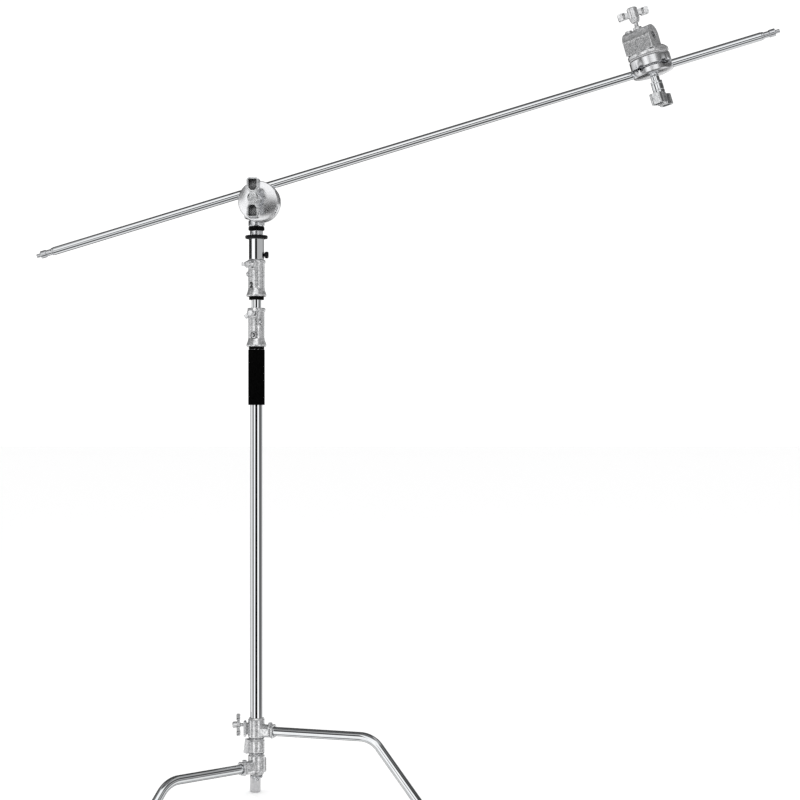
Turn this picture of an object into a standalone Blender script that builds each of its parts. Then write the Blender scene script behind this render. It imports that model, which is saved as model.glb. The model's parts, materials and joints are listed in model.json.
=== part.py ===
"""C stand: a folding three-leg base, a telescoping column, two grip heads and a boom arm.

Metres, +Z up. The origin is on the floor, under the middle of the whole object, and the column stands
at COLUMN_PLACE. Angles about the column are measured from +X. Every piece is its own object with its
own material, and every moving piece hangs from an empty that stands on its joint's axis.
"""
import math

import bmesh
import bpy
from mathutils import Matrix, Vector

# ---- Driving dimensions, in metres ----
GAP = 0.0003                      # clearance between pieces that touch
WELD = 0.000002                   # points closer than this are one point
COLUMN_PLACE = Vector((-0.2895, -0.0751, 0.0))

# Column, risers and what sits on them, radii
COLUMN_R = 0.0125
COLUMN_BORE = 0.0103
RISER_1_R = 0.00975
RISER_1_BORE = 0.0078
RISER_2_R = 0.0073
RISER_2_BORE = 0.0053
COLLAR_R = 0.0163
COLLAR_RIM_R = 0.0200
COLLAR_BEAD_R = 0.0180
SLEEVE_R = 0.0150
STUD_R = 0.0080

# Heights above the floor
COLUMN_FOOT = 0.112
COLUMN_TOP = 0.990
FOAM_SPAN = (0.850, 0.961)
BAND_1_SPAN = (0.9613, 0.9667)
COLLAR_1_SPAN = (0.967, 1.044)
RISER_1_SPAN = (0.200, 1.112)
BAND_2_SPAN = (1.0603, 1.0667)
COLLAR_2_SPAN = (1.067, 1.140)
RISER_2_SPAN = (0.300, 1.160)
SLEEVE_SPAN = (1.1405, 1.182)
FLANGE_SPAN = (1.1823, 1.189)
STACK_SPAN = (1.1893, 1.1985)
RING_SPAN = (1.1988, 1.2062)
SEAT_SPAN = (1.2065, 1.2205)
STUD_TOP = 1.268
BASE_KNOB_HEIGHT = 0.2105
LOCK_KNOB_HEIGHT = 1.1500
COLLAR_KNOB_DROP = 0.0110         # a collar's knob below the collar's top
COLLAR_RIVET_DROP = 0.0280

# Angles about the column, in degrees
BASE_PAD_AZIMUTH = 18.0           # in the top casting's own frame
MIDDLE_RIB_AZIMUTH = -65.0        # in the middle casting's own frame
COLLAR_1_KNOB_AZIMUTH = -105.0
COLLAR_2_KNOB_AZIMUTH = -115.0
RIVET_1_AZIMUTH = -62.0
RIVET_2_AZIMUTH = 170.0

# Base: three leg castings on the column, one above the other
CASTINGS = {"bottom": (0.1103, 0.1530), "middle": (0.1550, 0.1832), "top": (0.1850, 0.2250)}
LEG_HEIGHTS = {"bottom": 0.127, "middle": 0.1685, "top": 0.1995}
LEG_RUNS = {"bottom": 0.189, "middle": 0.205, "top": 0.220}
LEG_AZIMUTHS = {"bottom": -138.0, "middle": 95.0, "top": -18.0}
HUB_R = 0.0165
SOCKET_R = 0.0130
SOCKET_REACH = 0.038
LEG_R = 0.0090
LEG_WALL = 0.0016
LEG_BEND_R = 0.050
LEG_DESCENT = math.radians(52.0)
LEG_END_HEIGHT = 0.0165           # where a leg's centre line ends, inside its foot
LEG_SCREW_INSET = 0.0080          # from the socket's mouth
FOOT_R = 0.0115
FOOT_LENGTH = 0.030

# Grip heads, along the clamp axis from the arm's centre line (t = 0)
DISC_R = 0.0396
DISC_FACE = 0.0020
DISC_BACK = 0.0200                # of the inner disc
OUTER_DISC_BACK = 0.0170
SPRING_POCKET_R = 0.0098
CROSS_OFFSET = 0.0223             # the two round grooves, each side of the bolt
PAD_SPAN = (0.0203, 0.0223)
BODY_FLANGE = (0.0226, 0.0350)
RECEIVER_T = 0.055
RECEIVER_Y = -0.014
RECEIVER_R = 0.0083
BODY_HALF_WIDTH = 0.0210
BODY_LENGTH = 0.058
BOLT_R = 0.0060
BOLT_SPAN = (-0.0620, 0.0440)
COLLET_SPAN = (-0.0520, -0.0173)
COLLET_NECK = 0.0110
HANDLE_SPAN = (-0.0750, -0.0523)
HANDLE_REACH = 0.039
HANDLE_TIP = 0.0240               # width of a wing at its tip
HANDLE_WAIST = 0.0130
SET_SCREW_TIP = RECEIVER_T + STUD_R + 0.0012
SET_HUB_SPAN = (0.089, 0.119)
SET_WING_SPAN = (0.0990, 0.1140)
SET_REACH = 0.030
SET_SCREW_R = 0.0040
LUG_X = -0.0200                   # the body's small boss, along the bore

# Arm
ARM_R = 0.0080
ARM_BORE = 0.0064
ARM_OFFSET = 0.024                # arm's centre line to the clamp axis
ARM_ELEVATION = math.radians(16.19)
ARM_LEFT = -0.4578
ARM_RIGHT = 1.0591
ARM_STUD = 0.036                  # length of each end stud
HEAD_2_STATION = 0.8049           # along the arm from head 1
HEAD_1_YAW = math.radians(5.0)
HEAD_1_HEIGHT = 1.2507
HEAD_2_TURN = math.radians(150.0)
HEAD_2_HANDLE_TURN = math.radians(70.0)

FINISHES = {                      # colour, metallic, roughness
    "chrome": ((0.72, 0.74, 0.78), 1.0, 0.08),
    "cast": ((0.52, 0.53, 0.54), 0.9, 0.42),
    "steel": ((0.60, 0.61, 0.63), 1.0, 0.25),
    "rubber": ((0.020, 0.020, 0.022), 0.0, 0.75),
    "grey_rubber": ((0.48, 0.48, 0.49), 0.0, 0.70),
    "foam": ((0.012, 0.012, 0.013), 0.0, 0.95),
    "plastic": ((0.025, 0.025, 0.028), 0.0, 0.40),
}


# ---- Mesh tools ----
def about_z(degrees):
    return Matrix.Rotation(math.radians(degrees), 3, "Z")


def azimuth(degrees):
    """The level direction at an angle about the column."""
    return about_z(degrees) @ Vector((1, 0, 0))


def clear_scene():
    for old in list(bpy.data.objects):
        bpy.data.objects.remove(old)


def mesh_from(bm):
    bmesh.ops.recalc_face_normals(bm, faces=bm.faces[:])
    mesh = bpy.data.meshes.new("piece")
    bm.to_mesh(mesh)
    bm.free()
    return mesh


def turned(outline, sides=16):
    """A solid turned about Z. The outline is (radius, height) points, and it ends on the axis or closes."""
    bm = bmesh.new()
    rings = []
    for radius, height in outline:
        if radius == 0:
            rings.append([bm.verts.new((0, 0, height))] * sides)
            continue
        angles = [2 * math.pi * i / sides for i in range(sides)]
        rings.append([bm.verts.new((radius * math.cos(a), radius * math.sin(a), height)) for a in angles])
    pairs = list(zip(rings, rings[1:]))
    if outline[0][0] != 0:
        pairs.append((rings[-1], rings[0]))
    for low, high in pairs:
        for i in range(sides):
            k = (i + 1) % sides
            corners = list(dict.fromkeys((low[i], low[k], high[k], high[i])))
            if len(corners) > 2:
                bm.faces.new(corners)
    return mesh_from(bm)


def ring(inner, outer, span, chamfer=0.0):
    """A plain ring or sleeve with chamfered outer edges."""
    low, high = span
    outline = [(inner, low), (outer - chamfer, low)]
    if chamfer:
        outline += [(outer, low + chamfer), (outer, high - chamfer)]
    else:
        outline += [(outer, low)]
    outline += [(outer - chamfer, high), (inner, high)]
    return turned([p for i, p in enumerate(outline) if p != outline[i - 1]])


def rod(radius, span, chamfer=0.0, sides=12):
    """A round bar along Z."""
    low, high = span
    outline = [(0, low), (radius - chamfer, low)]
    if chamfer:
        outline += [(radius, low + chamfer), (radius, high - chamfer)]
    outline += [(radius - chamfer, high), (0, high)]
    return turned(outline, sides)


def block(size, centre=(0, 0, 0), bevel=0.0):
    bm = bmesh.new()
    bmesh.ops.create_cube(bm, size=1.0)
    bmesh.ops.scale(bm, vec=size, verts=bm.verts)
    if bevel:
        bmesh.ops.bevel(bm, geom=bm.edges[:], offset=bevel, segments=1, affect="EDGES")
    bmesh.ops.translate(bm, vec=centre, verts=bm.verts)
    return mesh_from(bm)


def extruded(outline, low, high):
    """A flat outline in X and Y, drawn up from one height to another."""
    bm = bmesh.new()
    floor = [bm.verts.new((x, y, low)) for x, y in outline]
    roof = [bm.verts.new((x, y, high)) for x, y in outline]
    bm.faces.new(floor)
    bm.faces.new(roof)
    for i in range(len(outline)):
        k = (i + 1) % len(outline)
        bm.faces.new((floor[i], floor[k], roof[k], roof[i]))
    return mesh_from(bm)


def pipe(path, outer, inner, sides=10):
    """A bent pipe with open ends. The path's points lie in the XZ plane."""
    bm = bmesh.new()
    rings = []
    for i, point in enumerate(path):
        ahead = path[min(i + 1, len(path) - 1)] - point
        behind = point - path[max(i - 1, 0)]
        along = (ahead.normalized() + behind.normalized()).normalized()
        across = Vector((0, 1, 0)).cross(along)
        angles = [2 * math.pi * k / sides for k in range(sides)]
        spokes = [across * math.cos(a) + Vector((0, math.sin(a), 0)) for a in angles]
        rings.append([[bm.verts.new(point + s * r) for s in spokes] for r in (outer, inner)])
    for wall in (0, 1):
        for low, high in zip(rings, rings[1:]):
            for i in range(sides):
                k = (i + 1) % sides
                bm.faces.new((low[wall][i], low[wall][k], high[wall][k], high[wall][i]))
    for end in (rings[0], rings[-1]):
        for i in range(sides):
            k = (i + 1) % sides
            bm.faces.new((end[0][i], end[0][k], end[1][k], end[1][i]))
    return mesh_from(bm)


def moved(mesh, offset=(0, 0, 0), turn=None):
    matrix = Matrix.Translation(offset)
    if turn is not None:
        matrix = matrix @ turn.to_4x4()
    mesh.transform(matrix)
    return mesh


def facing(direction):
    """The rotation that lays +Z along a direction."""
    return Vector((0, 0, 1)).rotation_difference(Vector(direction)).to_matrix()


def welded(mesh):
    """Points that a Boolean left almost on top of each other become one."""
    bm = bmesh.new()
    bm.from_mesh(mesh)
    bmesh.ops.remove_doubles(bm, verts=bm.verts, dist=WELD)
    bmesh.ops.dissolve_degenerate(bm, edges=bm.edges, dist=WELD)
    bm.to_mesh(mesh)
    bm.free()
    return mesh


def combined(operation, first, tools):
    """One mesh joined with, or cut by, others in turn, with Blender's exact Boolean."""
    host = bpy.data.objects.new("host", first)
    bpy.context.scene.collection.objects.link(host)
    for mesh in tools:
        tool = bpy.data.objects.new("tool", mesh)
        bpy.context.scene.collection.objects.link(tool)
        step = host.modifiers.new("step", "BOOLEAN")
        step.operation = operation
        step.solver = "EXACT"
        step.object = tool
        graph = bpy.context.evaluated_depsgraph_get()
        host.data = welded(bpy.data.meshes.new_from_object(host.evaluated_get(graph)))
        host.modifiers.clear()
        bpy.data.objects.remove(tool)
    result = host.data
    bpy.data.objects.remove(host)
    return result


def joined(first, *tools):
    return combined("UNION", first, tools)


def cut(first, *tools):
    return combined("DIFFERENCE", first, tools)


# ---- Objects ----
def piece_material(name, finish):
    colour, metallic, roughness = FINISHES[finish]
    material = bpy.data.materials.new(name)
    material.use_nodes = True
    shader = material.node_tree.nodes["Principled BSDF"]
    shader.inputs["Base Color"].default_value = (*colour, 1.0)
    shader.inputs["Metallic"].default_value = metallic
    shader.inputs["Roughness"].default_value = roughness
    return material


def pivot(name, parent=None, place=(0, 0, 0), turn=None):
    """An empty on a joint's axis."""
    empty = bpy.data.objects.new(name, None)
    empty.empty_display_size = 0.02
    bpy.context.scene.collection.objects.link(empty)
    empty.parent = parent
    empty.matrix_local = Matrix.Translation(place) @ (turn or Matrix.Identity(3)).to_4x4()
    return empty


def piece(name, mesh, finish, parent):
    mesh.name = name
    mesh.shade_smooth()
    mesh.set_sharp_from_angle(angle=math.radians(35))
    mesh.materials.clear()
    mesh.materials.append(piece_material(name, finish))
    made = bpy.data.objects.new(name, mesh)
    bpy.context.scene.collection.objects.link(made)
    made.parent = parent
    return made


# ---- Base ----
def leg_path(level):
    """A leg's centre line: level out of the socket, round one bend, then straight down to its foot."""
    height = LEG_HEIGHTS[level]
    bend_centre = Vector((LEG_RUNS[level], 0, height - LEG_BEND_R))
    steps = 3
    path = [Vector((HUB_R - 0.0010, 0, height))]
    for i in range(steps + 1):
        a = LEG_DESCENT * i / steps
        path.append(bend_centre + LEG_BEND_R * Vector((math.sin(a), 0, math.cos(a))))
    down = Vector((math.cos(LEG_DESCENT), 0, -math.sin(LEG_DESCENT)))
    path.append(path[-1] + down * ((path[-1].z - LEG_END_HEIGHT) / -down.z))
    return path


def casting_extras(level):
    """What each casting has besides its sleeve and socket: a clamp pad, a rib or a counter block."""
    low, high = CASTINGS[level]
    if level == "top":
        pad = block((0.012, 0.019, 0.030), (-0.0195, 0, 0.203), 0.0012)
        return moved(pad, turn=about_z(BASE_PAD_AZIMUTH))
    if level == "middle":
        rib = block((0.0140, 0.0150, high - low - 0.0004), (-0.0170, 0.0040, (low + high) / 2), 0.0012)
        return moved(rib, turn=about_z(MIDDLE_RIB_AZIMUTH))
    return block((0.0120, 0.0200, 0.0300), (-0.0130, 0, LEG_HEIGHTS[level] + 0.0030), 0.0030)


def casting_mesh(level):
    """A sleeve round the column with a level socket for its leg and a pad for the socket's screw."""
    low, high = CASTINGS[level]
    height = LEG_HEIGHTS[level]
    rim = 0.0018
    hub = turned([(0.005, low), (HUB_R - rim, low), (HUB_R, low + rim), (HUB_R, high - 2 * rim),
                  (HUB_R - rim, high - rim), (HUB_R - rim, high), (0.005, high)])
    socket = block((SOCKET_REACH - 0.006, 2 * SOCKET_R, 2 * SOCKET_R), bevel=0.0055)
    socket = moved(socket, ((SOCKET_REACH + 0.006) / 2, 0, height))
    shape = joined(hub, socket, casting_extras(level))
    bore = rod(COLUMN_R + GAP, (low - 0.01, high + 0.01), sides=16)
    leg_bore = rod(LEG_R + GAP, (HUB_R - 0.0015, SOCKET_REACH + 0.01), sides=16)
    leg_bore = moved(leg_bore, (0, 0, height), facing((1, 0, 0)))
    screw_bore = moved(rod(0.0025, (height, height + 0.03)), (SOCKET_REACH - LEG_SCREW_INSET, 0, 0))
    tools = [bore, leg_bore, screw_bore]
    if level == "top":
        knob_axis = about_z(BASE_PAD_AZIMUTH) @ Vector((-1, 0, 0))
        tools.append(moved(rod(0.0036, (0.010, 0.040)), (0, 0, BASE_KNOB_HEIGHT), facing(knob_axis)))
    return cut(shape, *tools)


def leg_screw_mesh(level):
    height = LEG_HEIGHTS[level]
    tip = height + LEG_R + 0.0004
    top = height + SOCKET_R
    outline = [(0, tip), (0.0021, tip), (0.0021, top + GAP), (0.0042, top + GAP), (0.0042, top + 0.0028),
               (0.0034, top + 0.0035), (0, top + 0.0035)]
    return moved(turned(outline, 12), (SOCKET_REACH - LEG_SCREW_INSET, 0, 0))


def foot_mesh(path):
    """A rubber cap on the leg's end, cut level where it stands on the floor."""
    end = path[-1]
    down = (path[-1] - path[-2]).normalized()
    cup = turned([(0, 0.026), (FOOT_R, 0.026), (FOOT_R, -FOOT_LENGTH + 0.002),
                  (FOOT_R - 0.0015, -FOOT_LENGTH), (LEG_R + GAP, -FOOT_LENGTH), (LEG_R + GAP, GAP),
                  (0, GAP)], 16)
    cup = moved(cup, end, facing(down))
    return cut(cup, block((0.2, 0.2, 0.1), (end.x, 0, -0.05)))


def build_leg(level, root):
    frame = pivot(level + "_leg_pivot", root, turn=about_z(LEG_AZIMUTHS[level]))
    path = leg_path(level)
    piece("casting_" + level, casting_mesh(level), "cast", frame)
    piece("leg_" + level, pipe(path, LEG_R, LEG_R - LEG_WALL), "chrome", frame)
    piece("leg_screw_" + level, leg_screw_mesh(level), "steel", frame)
    piece("foot_" + level, foot_mesh(path), "grey_rubber", frame)


# ---- Knobs ----
def t_knob(stem, hub, wings, sides=16):
    """A T-knob along +Z: a stem, a barrel hub and two flat wings.

    stem is (radius, start), hub is (radius, start, end), wings is (reach, low, high, thickness).
    """
    stem_r, start = stem
    hub_r, low, high = hub
    reach, wing_low, wing_high, thick = wings
    soft = 0.0018
    body = turned([(0, start), (stem_r - 0.0008, start), (stem_r, start + 0.0008), (stem_r, low),
                   (hub_r - soft, low), (hub_r, low + soft), (hub_r, high - soft), (hub_r - soft, high),
                   (0, high)], sides)
    middle = (wing_low + wing_high) / 2
    bar = block((2 * reach, thick, wing_high - wing_low), (0, 0, middle), min(thick, 0.006) * 0.3)
    return joined(body, bar)


def place_knob(name, mesh, finish, parent, place, direction, roll):
    """A knob on its own pivot, with +Z along its axis and its wings rolled about it."""
    turn = facing(direction) @ Matrix.Rotation(roll, 3, "Z")
    frame = pivot(name + "_pivot", parent, place, turn)
    return piece(name, mesh, finish, frame)


def build_base(root):
    for level in CASTINGS:
        build_leg(level, root)
    washer_r = COLUMN_R + GAP
    piece("washer_lower", ring(washer_r, 0.0155, (0.1533, 0.1547)), "steel", root)
    piece("washer_upper", ring(washer_r, 0.0155, (0.1835, 0.1847)), "steel", root)
    plug = turned([(0, 0.098), (0.0050, 0.098), (0.0060, 0.0992), (0.0060, 0.1055), (0.0150, 0.1055),
                   (0.0158, 0.1063), (0.0158, 0.1100), (COLUMN_BORE - GAP, 0.1100),
                   (COLUMN_BORE - GAP, 0.124), (0, 0.124)], 12)
    piece("bottom_plug", plug, "steel", root)
    knob = t_knob((0.0032, 0.0132), (0.0065, 0.0320, 0.0480), (0.0215, 0.0335, 0.0385, 0.0090))
    place_knob("base_knob", knob, "cast", root, (0, 0, BASE_KNOB_HEIGHT), (-1, 0, 0), 0.0)


# ---- Column ----
def collar_mesh(span, lower_bore, upper_bore, shoulder, knob_azimuth, rivet_azimuth):
    """A cast collar: a flared foot, a beaded top, a pad for its knob, and a bore with one step."""
    low, high = span
    foot = 0.0110
    body = turned([(0.004, low), (COLLAR_RIM_R - 0.001, low), (COLLAR_RIM_R, low + 0.001),
                   (COLLAR_RIM_R, low + foot * 0.6), (COLLAR_R, low + foot), (COLLAR_R, high - 0.0080),
                   (COLLAR_BEAD_R, high - 0.0065), (COLLAR_BEAD_R, high - 0.0015),
                   (COLLAR_BEAD_R - 0.0015, high), (0.004, high)])
    knob_z = high - COLLAR_KNOB_DROP
    rivet_z = high - COLLAR_RIVET_DROP
    pad = block((0.0120, 0.0160, 0.0180), (0.0140, 0, knob_z), 0.0012)
    boss = moved(rod(0.0055, (0.010, COLLAR_R + 0.0020), 0.0006, 16), (0, 0, rivet_z), facing((1, 0, 0)))
    shape = joined(body, moved(pad, turn=about_z(knob_azimuth)), moved(boss, turn=about_z(rivet_azimuth)))
    knob_bore = moved(rod(0.0034, (0.004, 0.030)), (0, 0, knob_z), facing(azimuth(knob_azimuth)))
    pin_bore = rod(0.0028, (COLLAR_R - 0.0030, 0.030))
    pin_bore = moved(pin_bore, (0, 0, rivet_z), facing(azimuth(rivet_azimuth)))
    return cut(shape, rod(lower_bore, (low - 0.01, shoulder), sides=16),
               rod(upper_bore, (shoulder - 0.01, high + 0.01), sides=16), knob_bore, pin_bore)


def rivet_mesh(height, rivet_azimuth):
    outline = [(0, COLLAR_R - 0.0027), (0.0025, COLLAR_R - 0.0027), (0.0025, COLLAR_R + 0.0023),
               (0.0040, COLLAR_R + 0.0023), (0.0032, COLLAR_R + 0.0040), (0, COLLAR_R + 0.0044)]
    return moved(turned(outline, 16), (0, 0, height), facing(azimuth(rivet_azimuth)))


def build_collar(number, carrier, span, bores, shoulder, azimuths, knob):
    """A collar with its rivet and T-knob. knob is (screw's start, wings' reach, roll in degrees)."""
    tag = "collar_" + str(number)
    knob_azimuth, rivet_azimuth = azimuths
    start, reach, roll = knob
    piece(tag, collar_mesh(span, *bores, shoulder, knob_azimuth, rivet_azimuth), "cast", carrier)
    piece(tag + "_rivet", rivet_mesh(span[1] - COLLAR_RIVET_DROP, rivet_azimuth), "steel", carrier)
    knob_mesh = t_knob((0.0030, start), (0.0070, 0.0225, 0.0390), (reach, 0.0265, 0.0370, 0.0080))
    place_knob(tag + "_knob", knob_mesh, "cast", carrier, (0, 0, span[1] - COLLAR_KNOB_DROP),
               azimuth(knob_azimuth), math.radians(roll))


def build_column(root):
    piece("column_tube", ring(COLUMN_BORE, COLUMN_R, (COLUMN_FOOT, COLUMN_TOP)), "chrome", root)
    piece("foam_sleeve", ring(COLUMN_R + GAP, 0.0165, FOAM_SPAN, 0.0015), "foam", root)
    piece("band_lower", ring(COLUMN_R + GAP, 0.0155, BAND_1_SPAN), "rubber", root)
    build_collar(1, root, COLLAR_1_SPAN, (COLUMN_R + GAP, RISER_1_R + GAP), COLUMN_TOP + GAP,
                 (COLLAR_1_KNOB_AZIMUTH, RIVET_1_AZIMUTH), (0.0102, 0.0150, 20.0))


def build_riser_1(slider):
    piece("riser_1_tube", ring(RISER_1_BORE, RISER_1_R, RISER_1_SPAN), "chrome", slider)
    low = RISER_1_SPAN[0]
    bush = turned([(RISER_2_R + GAP, low - 0.004), (COLUMN_BORE - GAP, low - 0.004),
                   (COLUMN_BORE - GAP, low - GAP), (RISER_2_R + GAP, low - GAP)])
    piece("riser_1_bush", bush, "plastic", slider)
    piece("band_upper", ring(RISER_1_R + GAP, 0.0150, BAND_2_SPAN), "rubber", slider)
    build_collar(2, slider, COLLAR_2_SPAN, (RISER_1_R + GAP, RISER_2_R + GAP), RISER_1_SPAN[1] + GAP,
                 (COLLAR_2_KNOB_AZIMUTH, RIVET_2_AZIMUTH), (0.0078, 0.0140, -30.0))


def build_riser_2(slider):
    piece("riser_2_tube", ring(RISER_2_BORE, RISER_2_R, RISER_2_SPAN), "chrome", slider)
    low, high = SLEEVE_SPAN
    deep = RISER_2_SPAN[1] + GAP
    sleeve = turned([(RISER_2_R + GAP, low), (SLEEVE_R - 0.001, low), (SLEEVE_R, low + 0.001),
                     (SLEEVE_R, high - 0.001), (SLEEVE_R - 0.001, high), (RISER_2_BORE, high),
                     (RISER_2_BORE, deep), (RISER_2_R + GAP, deep)])
    knob_at = (0, 0, LOCK_KNOB_HEIGHT)
    screw_bore = moved(rod(0.0028, (0.004, 0.020), sides=12), knob_at, facing((1, 0, 0)))
    piece("top_sleeve", cut(sleeve, screw_bore), "chrome", slider)
    lock = turned([(0, RISER_2_R + 0.0004), (0.0025, RISER_2_R + 0.0004), (0.0025, SLEEVE_R + 0.0006),
                   (0.0044, SLEEVE_R + 0.0006), (0.0068, SLEEVE_R + 0.0030), (0.0068, SLEEVE_R + 0.0070),
                   (0.0056, SLEEVE_R + 0.0090), (0, SLEEVE_R + 0.0090)], 16)
    place_knob("lock_knob", lock, "plastic", slider, knob_at, (1, 0, 0), 0.0)
    piece("stud_flange", ring(STUD_R + GAP, 0.0225, FLANGE_SPAN, 0.0012), "plastic", slider)
    piece("stud_spacer", ring(STUD_R + GAP, 0.0130, STACK_SPAN), "steel", slider)
    piece("stud_ring", ring(STUD_R + GAP, 0.0160, RING_SPAN), "rubber", slider)
    low, high = SEAT_SPAN
    seat = turned([(STUD_R + GAP, low), (0.0150, low), (0.0160, low + 0.002), (0.0160, high - 0.003),
                   (0.0140, high), (STUD_R + GAP, high)])
    piece("stud_seat", seat, "steel", slider)
    stud = turned([(0, 1.120), (RISER_2_BORE - GAP, 1.120), (RISER_2_BORE - GAP, FLANGE_SPAN[0]),
                   (STUD_R, FLANGE_SPAN[0]), (STUD_R, 1.240), (0.0068, 1.242), (0.0068, 1.254),
                   (STUD_R, 1.256), (STUD_R, STUD_TOP - 0.001), (STUD_R - 0.001, STUD_TOP), (0, STUD_TOP)])
    piece("stud", stud, "steel", slider)


# ---- Grip heads ----
def disc_mesh(side):
    """A clamp disc. side is +1 for the inner one, behind the arm, and -1 for the outer one.

    Its face has a V groove for the arm, a smaller one across the bolt from it, and two round ones crosswise.
    """
    soft = 0.0015
    face = DISC_FACE
    back = DISC_BACK if side > 0 else OUTER_DISC_BACK
    disc = turned([(BOLT_R + GAP, face), (DISC_R - soft, face), (DISC_R, face + soft), (DISC_R, back - soft),
                   (DISC_R - soft, back), (BOLT_R + GAP, back)], 24)
    disc = cut(disc, rod(SPRING_POCKET_R, (-0.001, 0.011)))
    long = 0.1
    vee = math.sqrt(2) * (ARM_R + GAP)
    small = vee * 0.55
    for y, depth in ((-ARM_OFFSET, vee), (ARM_OFFSET, small)):
        notch = extruded([(-depth, 0), (0, -depth), (depth, 0), (0, depth)], -long / 2, long / 2)
        disc = cut(disc, moved(notch, (0, y, 0), facing((1, 0, 0))))
    for x in (-CROSS_OFFSET, CROSS_OFFSET):
        notch = moved(rod(0.0055, (-long / 2, long / 2), sides=12), (x, 0, 0), facing((0, 1, 0)))
        disc = cut(disc, notch)
    if side < 0:
        disc.transform(Matrix.Diagonal((1, 1, -1, 1)))
        disc.flip_normals()
    return disc


def body_mesh():
    """A head's body: a round flange, a D-shaped block with the stud's bore along X, and two bosses."""
    low, high = BODY_FLANGE
    flange = turned([(0, low), (DISC_R - 0.001, low), (DISC_R, low + 0.001), (DISC_R, high - 0.004),
                     (DISC_R - 0.004, high), (0, high)], 24)
    w = BODY_HALF_WIDTH
    arc = [math.pi * i / 6 for i in range(7)]
    section = [(-w, high - 0.004), (w, high - 0.004)]
    section += [(w * math.cos(a), RECEIVER_T + w * math.sin(a)) for a in arc]
    block_mesh = extruded(section, -BODY_LENGTH / 2, BODY_LENGTH / 2)
    lay = Matrix(((0, 0, 1), (1, 0, 0), (0, 1, 0)))
    block_mesh = moved(block_mesh, (0, RECEIVER_Y, 0), lay)
    top = RECEIVER_T + w
    boss = moved(rod(0.0085, (RECEIVER_T + 0.012, top + 0.004), 0.0008), (0, RECEIVER_Y, 0))
    lug = moved(rod(0.0070, (RECEIVER_T + 0.012, top + 0.003), 0.0008), (LUG_X, RECEIVER_Y, 0))
    shape = joined(flange, block_mesh, boss, lug)
    bore = moved(rod(RECEIVER_R, (-0.1, 0.1), sides=16), (0, RECEIVER_Y, RECEIVER_T), facing((1, 0, 0)))
    bolt_bore = rod(BOLT_R + GAP, (0, BOLT_SPAN[1] + 0.0040))
    set_bore = moved(rod(0.0043, (RECEIVER_T, top + 0.02), sides=16), (0, RECEIVER_Y, 0))
    return cut(shape, bore, bolt_bore, set_bore)


def spring_mesh():
    """The spring that parts the discs, coiled round the bolt in their two pockets."""
    turns, per_turn, sides = 3, 8, 4
    coil_r, wire_r, half = 0.0080, 0.0010, 0.0086
    bm = bmesh.new()
    rings = []
    count = turns * per_turn
    for i in range(count + 1):
        a = 2 * math.pi * i / per_turn
        centre = Vector((coil_r * math.cos(a), coil_r * math.sin(a), -half + 2 * half * i / count))
        out = Vector((math.cos(a), math.sin(a), 0))
        spokes = [2 * math.pi * k / sides for k in range(sides)]
        rings.append([bm.verts.new(centre + wire_r * (out * math.cos(s) + Vector((0, 0, math.sin(s)))))
                      for s in spokes])
    for low, high in zip(rings, rings[1:]):
        for k in range(sides):
            n = (k + 1) % sides
            bm.faces.new((low[k], low[n], high[n], high[k]))
    bm.faces.new(rings[0])
    bm.faces.new(rings[-1])
    return mesh_from(bm)


def handle_mesh():
    """The clamp's T-handle: a hub on the bolt's end with two deep wings along X, broadest at their tips."""
    low, high = HANDLE_SPAN
    soft = 0.002
    hub = turned([(0, low), (0.0085, low), (0.0105, low + soft), (0.0115, high - soft), (0.0105, high),
                  (0, high)], 16)
    tip, waist, corner = HANDLE_TIP / 2, HANDLE_WAIST / 2, 0.0070
    quarter = [(HANDLE_REACH, tip - corner), (HANDLE_REACH - corner, tip), (0.0190, tip), (0.0080, waist)]
    half = quarter + [(-x, y) for x, y in reversed(quarter)]
    outline = half + [(-x, -y) for x, y in half]
    wings = extruded(outline, low + 0.0003, high - 0.0014)
    bore = rod(BOLT_R + GAP, (BOLT_SPAN[0] - GAP, high + 0.01))
    return cut(joined(hub, wings), bore)


def collet_mesh():
    """The pressure sleeve between the handle and the outer disc."""
    low, high = COLLET_SPAN
    neck = high - COLLET_NECK
    return turned([(BOLT_R + GAP, low), (0.0105, low), (0.0112, low + 0.001), (0.0112, neck - 0.001),
                   (0.0102, neck), (0.0082, neck), (0.0082, high), (BOLT_R + GAP, high)])


def build_head(number, carrier, clamp, jaw_turn, body_turn, handle_roll, set_roll):
    """One grip head about its clamp point, which is given with its turns in the column's frame."""
    tag = "head_" + str(number) + "_"
    jaw = pivot(tag + "jaw_pivot", carrier)
    body = pivot(tag + "body_pivot", carrier)
    for part, turn in ((jaw, jaw_turn), (body, body_turn)):
        bpy.context.view_layer.update()
        place = Matrix.Translation(COLUMN_PLACE + clamp) @ turn.to_4x4()
        part.matrix_local = carrier.matrix_world.inverted() @ place
    piece(tag + "body", body_mesh(), "cast", body)
    piece(tag + "pad", ring(BOLT_R + GAP, DISC_R - 0.003, PAD_SPAN), "rubber", body)
    piece(tag + "inner_disc", disc_mesh(1), "cast", jaw)
    piece(tag + "spring", spring_mesh(), "steel", jaw)
    piece(tag + "outer_disc", disc_mesh(-1), "cast", jaw)
    piece(tag + "collet", collet_mesh(), "chrome", jaw)
    roll = pivot(tag + "handle_pivot", jaw, turn=Matrix.Rotation(handle_roll, 3, "Z"))
    piece(tag + "handle", handle_mesh(), "cast", roll)
    piece(tag + "bolt", rod(BOLT_R, BOLT_SPAN, 0.0008, 12), "steel", roll)
    knob = t_knob((SET_SCREW_R, SET_SCREW_TIP), (0.0100, *SET_HUB_SPAN), (SET_REACH, *SET_WING_SPAN, 0.0095))
    set_turn = Matrix.Rotation(set_roll, 3, "Z")
    set_pivot = pivot(tag + "set_pivot", body, (0, RECEIVER_Y, 0), set_turn)
    piece(tag + "set_knob", knob, "cast", set_pivot)


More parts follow.
